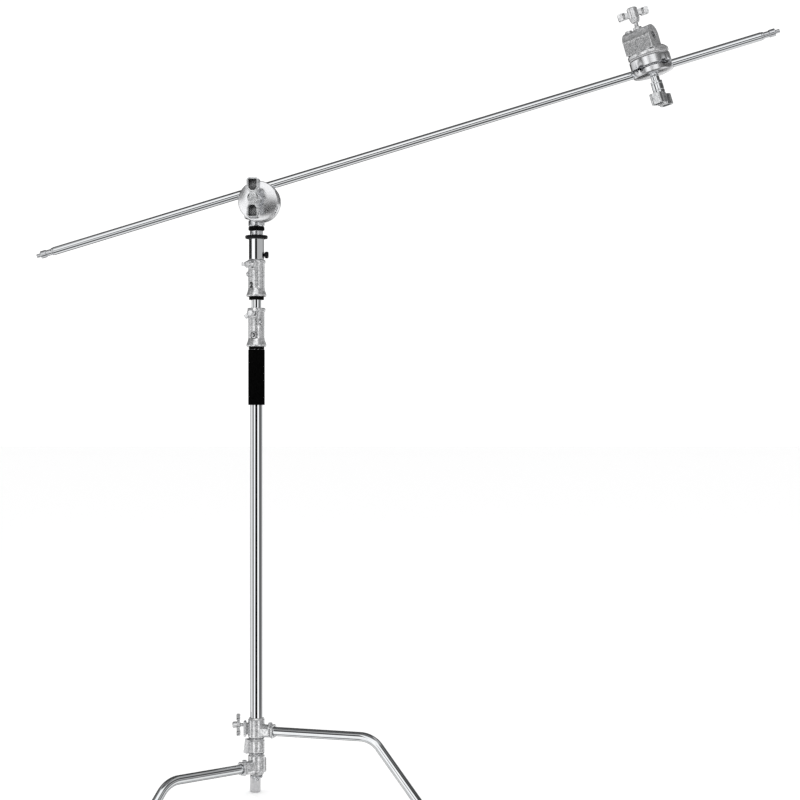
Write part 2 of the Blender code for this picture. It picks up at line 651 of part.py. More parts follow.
# ---- Arm ----
def build_arm(slider):
    low, high = ARM_LEFT + ARM_STUD, ARM_RIGHT - ARM_STUD
    piece("arm_tube", ring(ARM_BORE, ARM_R, (low, high)), "chrome", slider)
    for name, end, away in (("arm_stud_left", low, -1), ("arm_stud_right", high, 1)):
        stud = turned([(0, -0.030), (ARM_BORE - GAP, -0.030), (ARM_BORE - GAP, GAP), (0.0074, GAP),
                       (0.0074, 0.004), (0.0060, 0.005), (0.0060, 0.015), (0.0074, 0.016), (0.0074, 0.027),
                       (0.0036, 0.028), (0.0036, ARM_STUD - 0.0006), (0.0030, ARM_STUD), (0, ARM_STUD)], 12)
        if away < 0:
            stud.transform(Matrix.Rotation(math.pi, 4, "X"))
        piece(name, moved(stud, (0, 0, end)), "steel", slider)


def build():
    clear_scene()
    up = Vector((0, 0, 1))
    front = Vector((-math.sin(HEAD_1_YAW), -math.cos(HEAD_1_YAW), 0))
    side = front.cross(up) * -1
    along = math.cos(ARM_ELEVATION) * side + math.sin(ARM_ELEVATION) * up
    above = math.cos(ARM_ELEVATION) * up - math.sin(ARM_ELEVATION) * side

    root = pivot("stand", place=COLUMN_PLACE)
    build_base(root)
    build_column(root)
    riser_1 = pivot("riser_1_slide", root)
    build_riser_1(riser_1)
    riser_2 = pivot("riser_2_slide", riser_1)
    build_riser_2(riser_2)

    swivel = pivot("head_1_swivel", riser_2)
    clamp_1 = front * RECEIVER_T - side * RECEIVER_Y + up * HEAD_1_HEIGHT
    body_1_turn = Matrix((up, side, -front)).transposed()
    jaw_1_turn = Matrix((along, -above, -front)).transposed()
    upright = math.radians(90)
    build_head(1, swivel, clamp_1, jaw_1_turn, body_1_turn, ARM_ELEVATION - upright, upright)

    arm_centre = clamp_1 + above * ARM_OFFSET
    arm = pivot("arm_slide", swivel, arm_centre, facing(along))
    build_arm(arm)

    station = arm_centre + along * HEAD_2_STATION
    clamp_2 = station + front * ARM_OFFSET
    jaw_2_turn = Matrix((-along, front, above)).transposed()
    body_2_turn = jaw_2_turn @ Matrix.Rotation(HEAD_2_TURN, 3, "Z")
    build_head(2, arm, clamp_2, jaw_2_turn, body_2_turn, HEAD_2_HANDLE_TURN, -HEAD_2_TURN)
    bpy.context.view_layer.update()


build()
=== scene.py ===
"""Looks of the C stand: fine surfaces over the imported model, their materials, and a plain studio.

Metres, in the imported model's frame. A piece is modelled in its own small frame, which comes from the
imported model's joints and boxes, and it rides on its node's body.
"""
import json
import math

import bmesh
import bpy
from mathutils import Matrix, Vector


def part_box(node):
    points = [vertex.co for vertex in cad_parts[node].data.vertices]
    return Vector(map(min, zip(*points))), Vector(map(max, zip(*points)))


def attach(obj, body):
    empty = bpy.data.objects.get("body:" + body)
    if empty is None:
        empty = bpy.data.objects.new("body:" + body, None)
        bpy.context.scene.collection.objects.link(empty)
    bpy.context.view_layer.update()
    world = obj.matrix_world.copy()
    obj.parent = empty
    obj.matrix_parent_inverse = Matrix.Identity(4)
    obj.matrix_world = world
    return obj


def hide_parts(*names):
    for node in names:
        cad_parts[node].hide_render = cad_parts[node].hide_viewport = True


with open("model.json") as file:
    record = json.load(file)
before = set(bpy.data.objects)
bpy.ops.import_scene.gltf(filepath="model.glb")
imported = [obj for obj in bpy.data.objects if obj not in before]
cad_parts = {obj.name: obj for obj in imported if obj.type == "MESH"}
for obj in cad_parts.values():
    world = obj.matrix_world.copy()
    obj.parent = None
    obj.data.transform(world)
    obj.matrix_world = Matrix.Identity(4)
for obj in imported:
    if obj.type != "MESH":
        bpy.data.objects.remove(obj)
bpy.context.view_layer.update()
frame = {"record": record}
BEHAVIOUR = frame["record"]["behaviour"]
JOINTS = {joint["name"]: joint for joint in BEHAVIOUR["joints"]}
BODY_OF = {node: body for body, nodes in BEHAVIOUR["bodies"].items() for node in nodes}
UP = Vector((0, 0, 1))

# ---- Named sizes, in metres. A pair is a low and a high end along the piece's own axis. ----
GAP = 0.0003                       # clearance between pieces that touch
FINE = 64                          # sides of a round piece
SHARP_ANGLE = math.radians(35)     # steeper edges than this stay sharp
CAST_VOXEL = 0.0005                # grid that gives castings their soft edges

LEG_HEIGHTS = {"bottom": 0.127, "middle": 0.1685, "top": 0.1995}
LEG_AZIMUTHS = {"bottom": -138.0, "middle": 95.0, "top": -18.0}
LEG_RUNS = {"bottom": 0.189, "middle": 0.205, "top": 0.220}      # from the axis to the start of the bend
LEG_R = 0.0090
LEG_WALL = 0.0016
LEG_BEND_R = 0.050
LEG_DESCENT = math.radians(52.0)   # below level
LEG_END_HEIGHT = 0.0165            # of the tube's end, inside the foot
FOOT_R = 0.0115
FOOT_LENGTH = 0.030
HUB_R = 0.0165
SOCKET_R = 0.0130
SOCKET_REACH = 0.038
SCREW_X = SOCKET_REACH - 0.008     # the socket screw's distance from the column's axis
BASE_KNOB_TURN = 18.0              # degrees from the top leg's back
BASE_KNOB_HEIGHT = 0.203
STOP_RIB_TURN = -65.0

COLUMN_R = 0.0125
COLUMN_INNER_R = 0.0103
COLUMN_BORE = 0.0128               # bore of what goes round the column tube
RISER_1_R = 0.00975
RISER_1_BORE = 0.01005
RISER_1_INNER_R = 0.0078
RISER_2_R = 0.0073
RISER_2_BORE = 0.0076
RISER_2_INNER_R = 0.0053
SLEEVE_R = 0.0150
COLLAR_R = 0.0163
COLLAR_RIM_R = 0.0200
COLLAR_BEAD_R = 0.0180
KNOB_DROP = 0.011                  # from a collar's top down to its knob
RIVET_DROP = 0.028

# A grip head, in frames with Z along its discs' axis, X along its bore or notches, 0 between the discs.
DISC_R = 0.0396
DISC_FACE = 0.0020
DISC_BACK = 0.0200
OUTER_DISC_BACK = 0.0170
BODY_FLANGE = (0.0226, 0.0350)
RECEIVER_T = 0.055                 # height of the stud's bore
RECEIVER_Y = -0.014
RECEIVER_R = 0.0083
BODY_HALF_WIDTH = 0.0210
BODY_LENGTH = 0.058
BOLT_R = 0.0060
BOLT_SPAN = (-0.0620, 0.0440)
COLLET_SPAN = (-0.0520, -0.0173)
COLLET_NECK = 0.0110
HANDLE_SPAN = (-0.0750, -0.0523)
HANDLE_REACH = 0.039
HANDLE_TIP = 0.0240
HANDLE_WAIST = 0.0130
HANDLE_CORNER = 0.0065
SET_TIP = 0.0642                   # inner end of the set screw
SET_HUB = (0.089, 0.119)
SET_WINGS = (0.0990, 0.1140)
SET_REACH = 0.030
LUG_X = -0.0200
SPRING_R = 0.0080
SPRING_WIRE_R = 0.0010
SPRING_HALF = 0.0086

ARM_LENGTH = 1.4449
ARM_R = 0.0080
ARM_BORE = 0.0064
ARM_OFFSET = 0.024                 # from the bolt to the middle of the arm's notch
ARM_STUD = 0.036
CROSS_OFFSET = 0.0223              # from the bolt to the middle of a cross hole
STUD_R = 0.0080
HEAD_2_TURN = math.radians(150.0)          # of its body, from the arm's direction
HEAD_2_HANDLE_TURN = math.radians(70.0)
CAMERA_LENS = 81.0
CAMERA_FROM_COLUMN = Vector((0.287, -3.6, 0.86))


# ---- Mesh tools ----
def mesh_from(bm):
    """A mesh from a closed form, its faces turned outwards."""
    bmesh.ops.recalc_face_normals(bm, faces=bm.faces[:])
    mesh = bpy.data.meshes.new("look")
    bm.to_mesh(mesh)
    bm.free()
    return mesh


def rounded(outline, radius, closed, steps=3):
    """An outline whose corners are turned into arcs, no wider than their neighbours allow."""
    soft = []
    count = len(outline)
    for i, corner in enumerate(outline):
        here = Vector(corner)
        if not closed and i in (0, count - 1):
            soft.append(here)
            continue
        before = Vector(outline[i - 1]) - here
        after = Vector(outline[(i + 1) % count]) - here
        turn = math.pi - before.angle(after)
        if turn < 0.05:
            soft.append(here)
            continue
        reach = min(radius * math.tan(turn / 2), before.length * 0.45, after.length * 0.45)
        start = here + before.normalized() * reach
        end = here + after.normalized() * reach
        for k in range(steps + 1):
            t = k / steps
            soft.append(start.lerp(here, t).lerp(here.lerp(end, t), t))
    return soft


def supported(points, soft, closed):
    """Points with two more on each long wall, so its smooth shading stays true up to the corners."""
    result = []
    count = len(points)
    for i in range(count if closed else count - 1):
        here, after = points[i], points[(i + 1) % count]
        result.append(here)
        length = (after - here).length
        if length > 4 * soft and here.x > 0 and after.x > 0:
            result += [here.lerp(after, soft / length), after.lerp(here, soft / length)]
    return result if closed else result + [points[-1]]


def turned(outline, soft=0.0004, sides=FINE):
    """A solid turned about Z from (radius, height) points, with rounded corners."""
    closed = outline[0][0] != 0
    points = [Vector(p) for p in outline]
    if soft:
        points = supported(rounded(outline, soft, closed), soft, closed)
    bm = bmesh.new()
    rings = []
    for radius, height in points:
        if radius == 0:
            rings.append([bm.verts.new((0, 0, height))] * sides)
            continue
        angles = [2 * math.pi * i / sides for i in range(sides)]
        rings.append([bm.verts.new((radius * math.cos(a), radius * math.sin(a), height)) for a in angles])
    pairs = list(zip(rings, rings[1:]))
    if closed:
        pairs.append((rings[-1], rings[0]))
    for low, high in pairs:
        for i in range(sides):
            k = (i + 1) % sides
            corners = list(dict.fromkeys((low[i], low[k], high[k], high[i])))
            if len(corners) > 2:
                bm.faces.new(corners)
    return mesh_from(bm)


def rod(radius, low, high, soft=0.0, sides=32):
    """A round bar along Z."""
    return turned([(0, low), (radius, low), (radius, high), (0, high)], soft, sides)


def ring(inner, outer, low, high, soft=0.0004):
    """A tube along Z."""
    return turned([(inner, low), (outer, low), (outer, high), (inner, high)], soft)


def block(size, middle, bevel=0.0):
    """A box with rounded edges."""
    bm = bmesh.new()
    bmesh.ops.create_cube(bm, size=1.0)
    bmesh.ops.scale(bm, vec=size, verts=bm.verts)
    if bevel:
        bmesh.ops.bevel(bm, geom=bm.edges[:], offset=bevel, segments=3, profile=0.5, affect="EDGES")
    bmesh.ops.translate(bm, vec=middle, verts=bm.verts)
    return mesh_from(bm)


def extruded(outline, low, high):
    """A prism along Z over an outline in XY."""
    bm = bmesh.new()
    floor = [bm.verts.new((x, y, low)) for x, y in outline]
    roof = [bm.verts.new((x, y, high)) for x, y in outline]
    bm.faces.new(floor)
    bm.faces.new(roof)
    for i in range(len(outline)):
        k = (i + 1) % len(outline)
        bm.faces.new((floor[i], floor[k], roof[k], roof[i]))
    return mesh_from(bm)


def pipe(path, outer, inner, sides=48):
    """A bent pipe with open ends, along a path in the XZ plane."""
    bm = bmesh.new()
    rings = []
    for i, point in enumerate(path):
        ahead = path[min(i + 1, len(path) - 1)] - point
        behind = point - path[max(i - 1, 0)]
        along = (ahead.normalized() + behind.normalized()).normalized()
        across = Vector((0, 1, 0)).cross(along)
        angles = [2 * math.pi * k / sides for k in range(sides)]
        spokes = [across * math.cos(a) + Vector((0, math.sin(a), 0)) for a in angles]
        rings.append([[bm.verts.new(point + s * r) for s in spokes] for r in (outer, inner)])
    for wall in (0, 1):
        for low, high in zip(rings, rings[1:]):
            for i in range(sides):
                k = (i + 1) % sides
                bm.faces.new((low[wall][i], low[wall][k], high[wall][k], high[wall][i]))
    for end in (rings[0], rings[-1]):
        for i in range(sides):
            k = (i + 1) % sides
            bm.faces.new((end[0][i], end[0][k], end[1][k], end[1][i]))
    return mesh_from(bm)


def moved(mesh, offset=(0, 0, 0), turn=None):
    """The mesh, turned and then shifted."""
    matrix = Matrix.Translation(offset)
    if turn is not None:
        matrix = matrix @ turn.to_4x4()
    mesh.transform(matrix)
    return mesh


def facing(direction):
    """The turn that takes Z to a direction."""
    return UP.rotation_difference(Vector(direction)).to_matrix()


def about_z(degrees):
    return Matrix.Rotation(math.radians(degrees), 3, "Z")


def evaluated(mesh, *steps):
    """The mesh after some modifiers, each given as (type, settings)."""
    host = bpy.data.objects.new("host", mesh)
    bpy.context.scene.collection.objects.link(host)
    for kind, settings in steps:
        modifier = host.modifiers.new(kind.lower(), kind)
        for key, value in settings.items():
            setattr(modifier, key, value)
    graph = bpy.context.evaluated_depsgraph_get()
    result = bpy.data.meshes.new_from_object(host.evaluated_get(graph))
    bpy.data.objects.remove(host)
    return result


def combined(operation, first, tools):
    """The first mesh after a boolean with each tool."""
    for mesh in tools:
        tool = bpy.data.objects.new("tool", mesh)
        bpy.context.scene.collection.objects.link(tool)
        first = evaluated(first, ("BOOLEAN", {"operation": operation, "solver": "EXACT", "object": tool}))
        bpy.data.objects.remove(tool)
    return first


def joined(first, *tools):
    return combined("UNION", first, tools)


def cut(first, *tools):
    return combined("DIFFERENCE", first, tools)


def cast(mesh, voxel=CAST_VOXEL, keep=0.35, rounds=5):
    """A casting's soft edges and fillets: the form is rebuilt on a fine grid, relaxed and thinned out."""
    return evaluated(mesh, ("REMESH", {"mode": "VOXEL", "voxel_size": voxel, "use_smooth_shade": True}),
                     ("SMOOTH", {"factor": 0.5, "iterations": rounds}),
                     ("DECIMATE", {"ratio": keep}))


# ---- Materials ----
def new_material(name):
    material = bpy.data.materials.new(name)
    material.use_nodes = True
    return material, material.node_tree.nodes, material.node_tree.links


def noise(nodes, links, scale, detail, stretch):
    """Noise in the piece's own space, drawn out along an axis where stretch is small."""
    place = nodes.new("ShaderNodeTexCoord")
    mapping = nodes.new("ShaderNodeMapping")
    mapping.inputs["Scale"].default_value = stretch
    texture = nodes.new("ShaderNodeTexNoise")
    texture.inputs["Scale"].default_value = scale
    texture.inputs["Detail"].default_value = detail
    links.new(place.outputs["Object"], mapping.inputs["Vector"])
    links.new(mapping.outputs["Vector"], texture.inputs["Vector"])
    return texture.outputs["Fac"]


def spread(nodes, links, value, low, high):
    """A 0 to 1 value drawn out to run from low to high."""
    ramp = nodes.new("ShaderNodeMapRange")
    ramp.inputs["From Min"].default_value = 0.3
    ramp.inputs["From Max"].default_value = 0.7
    ramp.inputs["To Min"].default_value = low
    ramp.inputs["To Max"].default_value = high
    links.new(value, ramp.inputs["Value"])
    return ramp.outputs["Result"]


def between(nodes, links, value, dark, light):
    """A colour between two, mixed by a 0 to 1 value."""
    ramp = nodes.new("ShaderNodeValToRGB")
    ramp.color_ramp.elements[0].position = 0.3
    ramp.color_ramp.elements[0].color = (*dark, 1)
    ramp.color_ramp.elements[1].position = 0.7
    ramp.color_ramp.elements[1].color = (*light, 1)
    links.new(value, ramp.inputs["Fac"])
    return ramp.outputs["Color"]


def bumped(nodes, links, height, strength, distance):
    """A relief on the material's shader."""
    bump = nodes.new("ShaderNodeBump")
    bump.inputs["Strength"].default_value = strength
    bump.inputs["Distance"].default_value = distance
    links.new(height, bump.inputs["Height"])
    links.new(bump.outputs["Normal"], nodes["Principled BSDF"].inputs["Normal"])


def surface(name, dark, light, metallic, rough, tint_scale, bump_scale, bump_size,
            stretch=(1, 1, 1), crease_shade_reach=0.0):
    """A material with patchy colour, patchy roughness, a fine relief, and painted shade that darkens its
    colour where ambient occlusion finds deep creases.
    """
    material, nodes, links = new_material(name)
    shader = nodes["Principled BSDF"]
    shader.inputs["Metallic"].default_value = metallic
    tint = between(nodes, links, noise(nodes, links, tint_scale, 4.0, stretch), dark, light)
    # painted shade: the base colour is darkened by ambient occlusion in creases and recesses, where shade
    # falls
    if crease_shade_reach:
        crease_occlusion = nodes.new("ShaderNodeAmbientOcclusion")
        crease_occlusion.samples = 6
        crease_occlusion.inputs["Distance"].default_value = crease_shade_reach
        depth = nodes.new("ShaderNodeMapRange")
        depth.inputs["From Min"].default_value = 0.42
        depth.inputs["From Max"].default_value = 0.85
        depth.inputs["To Min"].default_value = 0.05
        links.new(crease_occlusion.outputs["AO"], depth.inputs["Value"])
        painted_crease_shade = nodes.new("ShaderNodeVectorMath")
        painted_crease_shade.operation = "SCALE"
        links.new(tint, painted_crease_shade.inputs[0])
        links.new(depth.outputs["Result"], painted_crease_shade.inputs["Scale"])
        tint = painted_crease_shade.outputs["Vector"]
    links.new(tint, shader.inputs["Base Color"])
    wear = noise(nodes, links, tint_scale * 2.3, 5.0, stretch)
    links.new(spread(nodes, links, wear, *rough), shader.inputs["Roughness"])
    relief = noise(nodes, links, bump_scale, 2.0, stretch)
    bumped(nodes, links, relief, 1.0, bump_size)
    return material


def turned_metal(name):
    """Bright metal with the fine rings that a lathe leaves, round the piece's own Z axis."""
    material, nodes, links = new_material(name)
    shader = nodes["Principled BSDF"]
    shader.inputs["Metallic"].default_value = 0.96
    shader.inputs["Anisotropic"].default_value = 0.6
    tangent = nodes.new("ShaderNodeTangent")
    tangent.direction_type = "RADIAL"
    tangent.axis = "Z"
    links.new(tangent.outputs["Tangent"], shader.inputs["Tangent"])
    place = nodes.new("ShaderNodeTexCoord")
    flat = nodes.new("ShaderNodeVectorMath")
    flat.operation = "MULTIPLY"
    flat.inputs[1].default_value = (1, 1, 0)
    radius = nodes.new("ShaderNodeVectorMath")
    radius.operation = "LENGTH"
    links.new(place.outputs["Object"], flat.inputs[0])
    links.new(flat.outputs["Vector"], radius.inputs[0])
    rings = nodes.new("ShaderNodeTexNoise")
    rings.noise_dimensions = "1D"
    rings.inputs["Scale"].default_value = 2600.0
    rings.inputs["Detail"].default_value = 3.0
    links.new(radius.outputs["Value"], rings.inputs["W"])
    links.new(between(nodes, links, rings.outputs["Fac"], (0.74, 0.75, 0.77), (0.95, 0.95, 0.96)),
              shader.inputs["Base Color"])
    links.new(spread(nodes, links, rings.outputs["Fac"], 0.15, 0.27), shader.inputs["Roughness"])
    bumped(nodes, links, rings.outputs["Fac"], 0.30, 0.00003)
    return material


def make_materials():
    along = (1, 1, 0.03)
    made = {
        "chrome": surface("polished_chrome", (0.78, 0.80, 0.82), (0.86, 0.87, 0.88), 1.0, (0.015, 0.045),
                          60, 900, 0.000003, along),
        # cast and forged pieces get painted shade in their creases and recesses
        "cast": surface("cast_aluminium", (0.52, 0.53, 0.54), (0.94, 0.94, 0.95), 0.78, (0.10, 0.26),
                        230, 700, 0.00016, crease_shade_reach=0.006),
        "forged": surface("forged_handle", (0.50, 0.51, 0.52), (0.92, 0.93, 0.94), 1.0, (0.16, 0.34),
                          180, 700, 0.00014, crease_shade_reach=0.014),
        "steel": surface("machined_steel", (0.62, 0.63, 0.65), (0.84, 0.85, 0.87), 1.0, (0.12, 0.26),
                         120, 1500, 0.00003, (0.2, 0.2, 1)),
        "turned": turned_metal("turned_disc"),
        "rubber": surface("black_rubber", (0.001, 0.001, 0.001), (0.005, 0.005, 0.005), 0.0, (0.50, 0.75),
                          200, 1800, 0.00010),
        "grey_rubber": surface("grey_rubber", (0.42, 0.42, 0.43), (0.56, 0.56, 0.57), 0.0, (0.55, 0.75),
                               200, 1800, 0.00010),
        "foam": surface("black_foam", (0.0003, 0.0003, 0.0003), (0.002, 0.002, 0.002), 0.0, (0.85, 1.0),
                        300, 900, 0.00035),
        "plastic": surface("black_plastic", (0.003, 0.003, 0.004), (0.009, 0.009, 0.010), 0.0, (0.25, 0.40),
                           150, 2500, 0.00003),
        # painted shade: the figures' near black colour stands in for the shade round their raised strokes
        "shade_figure": surface("near_black_figure_shade", (0.010, 0.010, 0.011), (0.035, 0.035, 0.037), 0.0, (0.35, 0.60),
                         400, 3000, 0.00002),
    }
    for name, gloss in (("rubber", 0.04), ("foam", 0.02), ("plastic", 0.12)):
        shader = made[name].node_tree.nodes["Principled BSDF"]
        shader.inputs["Specular IOR Level"].default_value = gloss
    return made


MATERIALS = make_materials()


# ---- Placing ----
def stand_in(node, mesh, material, place=None):
    """A fine piece that replaces a node and rides where the node rode."""
    mesh.name = node + "_look"
    mesh.materials.clear()
    mesh.materials.append(MATERIALS[material])
    for face in mesh.polygons:
        face.material_index = 0
    mesh.shade_smooth()
    mesh.set_sharp_from_angle(angle=SHARP_ANGLE)
    made = bpy.data.objects.new(node + "_look", mesh)
    bpy.context.scene.collection.objects.link(made)
    made.matrix_world = place or Matrix.Identity(4)
    bpy.context.view_layer.update()
    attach(made, BODY_OF[node])
    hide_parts(node)
    return made


def axes(x, z, origin):
    """A frame from its X and Z axes."""
    matrix = Matrix((x, z.cross(x), z)).transposed().to_4x4()
    matrix.translation = origin
    return matrix


def span(node):
    """A node's lowest and highest Z."""
    low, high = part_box(node)
    return low[2], high[2]


def placed(mesh, matrix):
    """A mesh put in its place for good, which gives it a snug box."""
    mesh.transform(matrix)
    return mesh


def centre(node):
    low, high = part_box(node)
    return (Vector(low) + Vector(high)) / 2


def joint_axis(name):
    return Vector(JOINTS[name]["axis"]).normalized()


def joint_place(name):
    return Vector(JOINTS[name]["pos_m"])


def knob_frame(name, roll):
    """A knob's frame: Z out along its joint's axis, rolled about it."""
    turn = facing(joint_axis(name)) @ Matrix.Rotation(roll, 3, "Z")
    matrix = turn.to_4x4()
    matrix.translation = joint_place(name)
    return matrix


COLUMN = Matrix.Translation((centre("column_tube").x, centre("column_tube").y, 0))


# ---- Base ----
def leg_path(level):
    """The middle line of a leg's tube: out from its casting, round the bend, down to its foot."""
    height = LEG_HEIGHTS[level]
    bend = Vector((LEG_RUNS[level], 0, height - LEG_BEND_R))
    path = [Vector((HUB_R - 0.0010, 0, height))]
    steps = 20
    for i in range(steps + 1):
        a = LEG_DESCENT * i / steps
        path.append(bend + LEG_BEND_R * Vector((math.sin(a), 0, math.cos(a))))
    down = Vector((math.cos(LEG_DESCENT), 0, -math.sin(LEG_DESCENT)))
    path.append(path[-1] + down * ((path[-1].z - LEG_END_HEIGHT) / -down.z))
    return path


def casting_look(level):
    """A leg's casting: a hub with a rolled rim, a squarish socket with a lip, and its screw pad."""
    low, high = span("casting_" + level)
    height = LEG_HEIGHTS[level]
    rim = 0.0018
    foot_r, taper = (0.0125, 0.0080) if level == "bottom" else (HUB_R - rim, rim)
    hub = turned([(0.005, low), (foot_r, low), (HUB_R, low + taper), (HUB_R, high - 2 * rim),
                  (HUB_R - rim, high - rim), (HUB_R - rim, high), (0.005, high)])
    arm = block((SOCKET_REACH - 0.0085, 2 * SOCKET_R - 0.0022, 2 * SOCKET_R - 0.0022),
                ((SOCKET_REACH + 0.0035) / 2, 0, height), 0.0065)
    lip = block((0.0042, 2 * SOCKET_R, 2 * SOCKET_R), (SOCKET_REACH - 0.0021, 0, height), 0.0012)
    lip = combined("INTERSECT", lip, [moved(rod(0.0152, 0.030, 0.040), (0, 0, height), facing((1, 0, 0)))])
    pad = rod(0.0052, height + 0.006, height + SOCKET_R, 0.0004)
    shape = joined(hub, arm, lip, moved(pad, (SCREW_X, 0, 0)))
    if level == "top":
        plate = block((0.0050, 0.0190, 0.0300), (-0.0230, 0, BASE_KNOB_HEIGHT), 0.0016)
        web = block((0.0100, 0.0120, 0.0220), (-0.0165, 0, BASE_KNOB_HEIGHT), 0.0010)
        knob_turn = about_z(BASE_KNOB_TURN)
        shape = joined(shape, moved(web, turn=knob_turn), moved(plate, turn=knob_turn))
    elif level == "middle":
        rib = extruded([(-0.0238, low + 0.0002), (-0.0100, low + 0.0002), (-0.0100, high - 0.0002),
                        (-0.0200, high - 0.0002)], -0.0070, 0.0070)
        rib = moved(rib, (0, 0.0040, 0), Matrix.Rotation(math.pi / 2, 3, "X"))
        shape = joined(shape, moved(rib, turn=about_z(STOP_RIB_TURN)))
    else:
        shape = joined(shape, block((0.0120, 0.0200, 0.0300), (-0.0130, 0, height + 0.0030), 0.0035))
    bore = rod(COLUMN_BORE, low - 0.01, high + 0.01)
    leg_bore = moved(rod(LEG_R + GAP, HUB_R - 0.0015, SOCKET_REACH + 0.01), (0, 0, height), facing((1, 0, 0)))
    screw_bore = moved(rod(0.0025, height, height + 0.03), (SCREW_X, 0, 0))
    tools = [bore, leg_bore, screw_bore]
    if level == "top":
        knob_bore = moved(rod(0.0036, 0.010, 0.040), (0, 0, joint_place("base_knob_turn").z),
                          facing(knob_turn @ Vector((-1, 0, 0))))
        tools.append(knob_bore)
    return cast(cut(shape, *tools))


def screw_look(level):
    """A cap screw with a hexagon socket in its head."""
    height = LEG_HEIGHTS[level]
    top = height + SOCKET_R
    tip = height + LEG_R + 0.0004
    screw = turned([(0, tip), (0.0021, tip), (0.0021, top + GAP), (0.0042, top + GAP), (0.0042, top + 0.0035),
                    (0, top + 0.0035)], 0.0003, 32)
    key = turned([(0, top + 0.0012), (0.0020, top + 0.0012), (0.0020, top + 0.01), (0, top + 0.01)], 0, 6)
    return moved(cut(screw, key), (SCREW_X, 0, 0))


def foot_look(path):
    """A rubber cap with two grip rings, cut level at the floor."""
    down = (path[-1] - path[-2]).normalized()
    groove = 0.0006
    outline = [(0, 0.026), (FOOT_R, 0.026), (FOOT_R, -0.004)]
    for start in (-0.006, -0.011, -0.016):
        outline += [(FOOT_R, start + 0.0016), (FOOT_R - groove, start + 0.0012), (FOOT_R - groove, start),
                    (FOOT_R, start - 0.0004)]
    outline += [(FOOT_R, -FOOT_LENGTH + 0.0015), (FOOT_R - 0.0015, -FOOT_LENGTH), (LEG_R + GAP, -FOOT_LENGTH),
                (LEG_R + GAP, GAP), (0, GAP)]
    cup = moved(turned(outline, 0.0003, 48), path[-1], facing(down))
    return cut(cup, block((0.2, 0.2, 0.1), (path[-1].x, 0, -0.05)))


def build_base():
    for level in LEG_HEIGHTS:
        place = COLUMN @ about_z(LEG_AZIMUTHS[level]).to_4x4()
        path = leg_path(level)
        stand_in("casting_" + level, casting_look(level), "cast", place)
        stand_in("leg_" + level, pipe(path, LEG_R, LEG_R - LEG_WALL), "chrome", place)
        stand_in("leg_screw_" + level, screw_look(level), "steel", place)
        stand_in("foot_" + level, placed(foot_look(path), place), "grey_rubber")
    for name in ("washer_lower", "washer_upper"):
        stand_in(name, ring(COLUMN_BORE, 0.0155, *span(name), 0.0002), "steel", COLUMN)
    low = span("bottom_plug")[0]
    plug = turned([(0, low), (0.0060, low), (0.0060, low + 0.0075), (0.0122, low + 0.0075),
                   (0.0122, low + 0.0120), (0.0100, low + 0.0120), (0.0100, low + 0.0260),
                   (0, low + 0.0260)], 0.0012)
    slot = block((0.002, 0.02, 0.004), (0, 0, low), 0)
    stand_in("bottom_plug", cut(plug, slot), "steel", COLUMN)
    knob = t_knob_look(stem_r=0.0032, start=0.0132, hub_r=0.0065, hub=(0.0320, 0.0480), reach=0.0215,
                       wings=(0.0325, 0.0400), thick=0.0085, recess=0.0016)
    stand_in("base_knob", knob, "cast", knob_frame("base_knob_turn", 0.0))


# ---- Knobs ----
def wing_outline(reach, waist, tip):
    """Half the outline of a T-knob's wings, seen along the wing's thickness: a waist, then squarish tips."""
    corner = 0.45 * tip
    points = []
    steps = 5
    for side in (-1, 1):
        x, y = reach - corner, side * (tip - corner)
        for i in range(steps + 1):
            a = math.radians(-45 + 45 * side) + 0.5 * math.pi * i / steps
            points.append((x + corner * math.cos(a), y + corner * math.sin(a)))
    points += [(0.52 * reach, tip), (0.40 * reach, waist), (0.20 * reach, waist)]
    return points + [(-x, -y) for x, y in points]


def t_knob_look(stem_r, start, hub_r, hub, reach, wings, thick, recess):
    """A cast T-knob along +Z: stem, barrel hub that tapers to it, and two wings slotted on both faces."""
    low, high = hub
    stem = turned([(0, start), (stem_r, start), (stem_r, low), (hub_r * 0.72, low), (hub_r, low + 0.0075),
                   (hub_r, high - 0.0020), (hub_r - 0.0020, high), (0, high)], 0.0008, 48)
    middle = (wings[0] + wings[1]) / 2
    tall = (wings[1] - wings[0]) / 2
    bar = extruded(wing_outline(reach, tall * 0.62, tall), -thick / 2, thick / 2)
    shape = joined(stem, moved(bar, (0, 0, middle), Matrix.Rotation(math.pi / 2, 3, "X")))
    slots = []
    for side in (-1, 1):
        for face in (-1, 1):
            slot_at = (side * reach * 0.62, face * thick / 2, middle)
            slots.append(block((reach * 0.13, 2 * recess, tall * 1.5), slot_at))
    return cast(cut(shape, *slots), 0.0004, 0.4, 4)


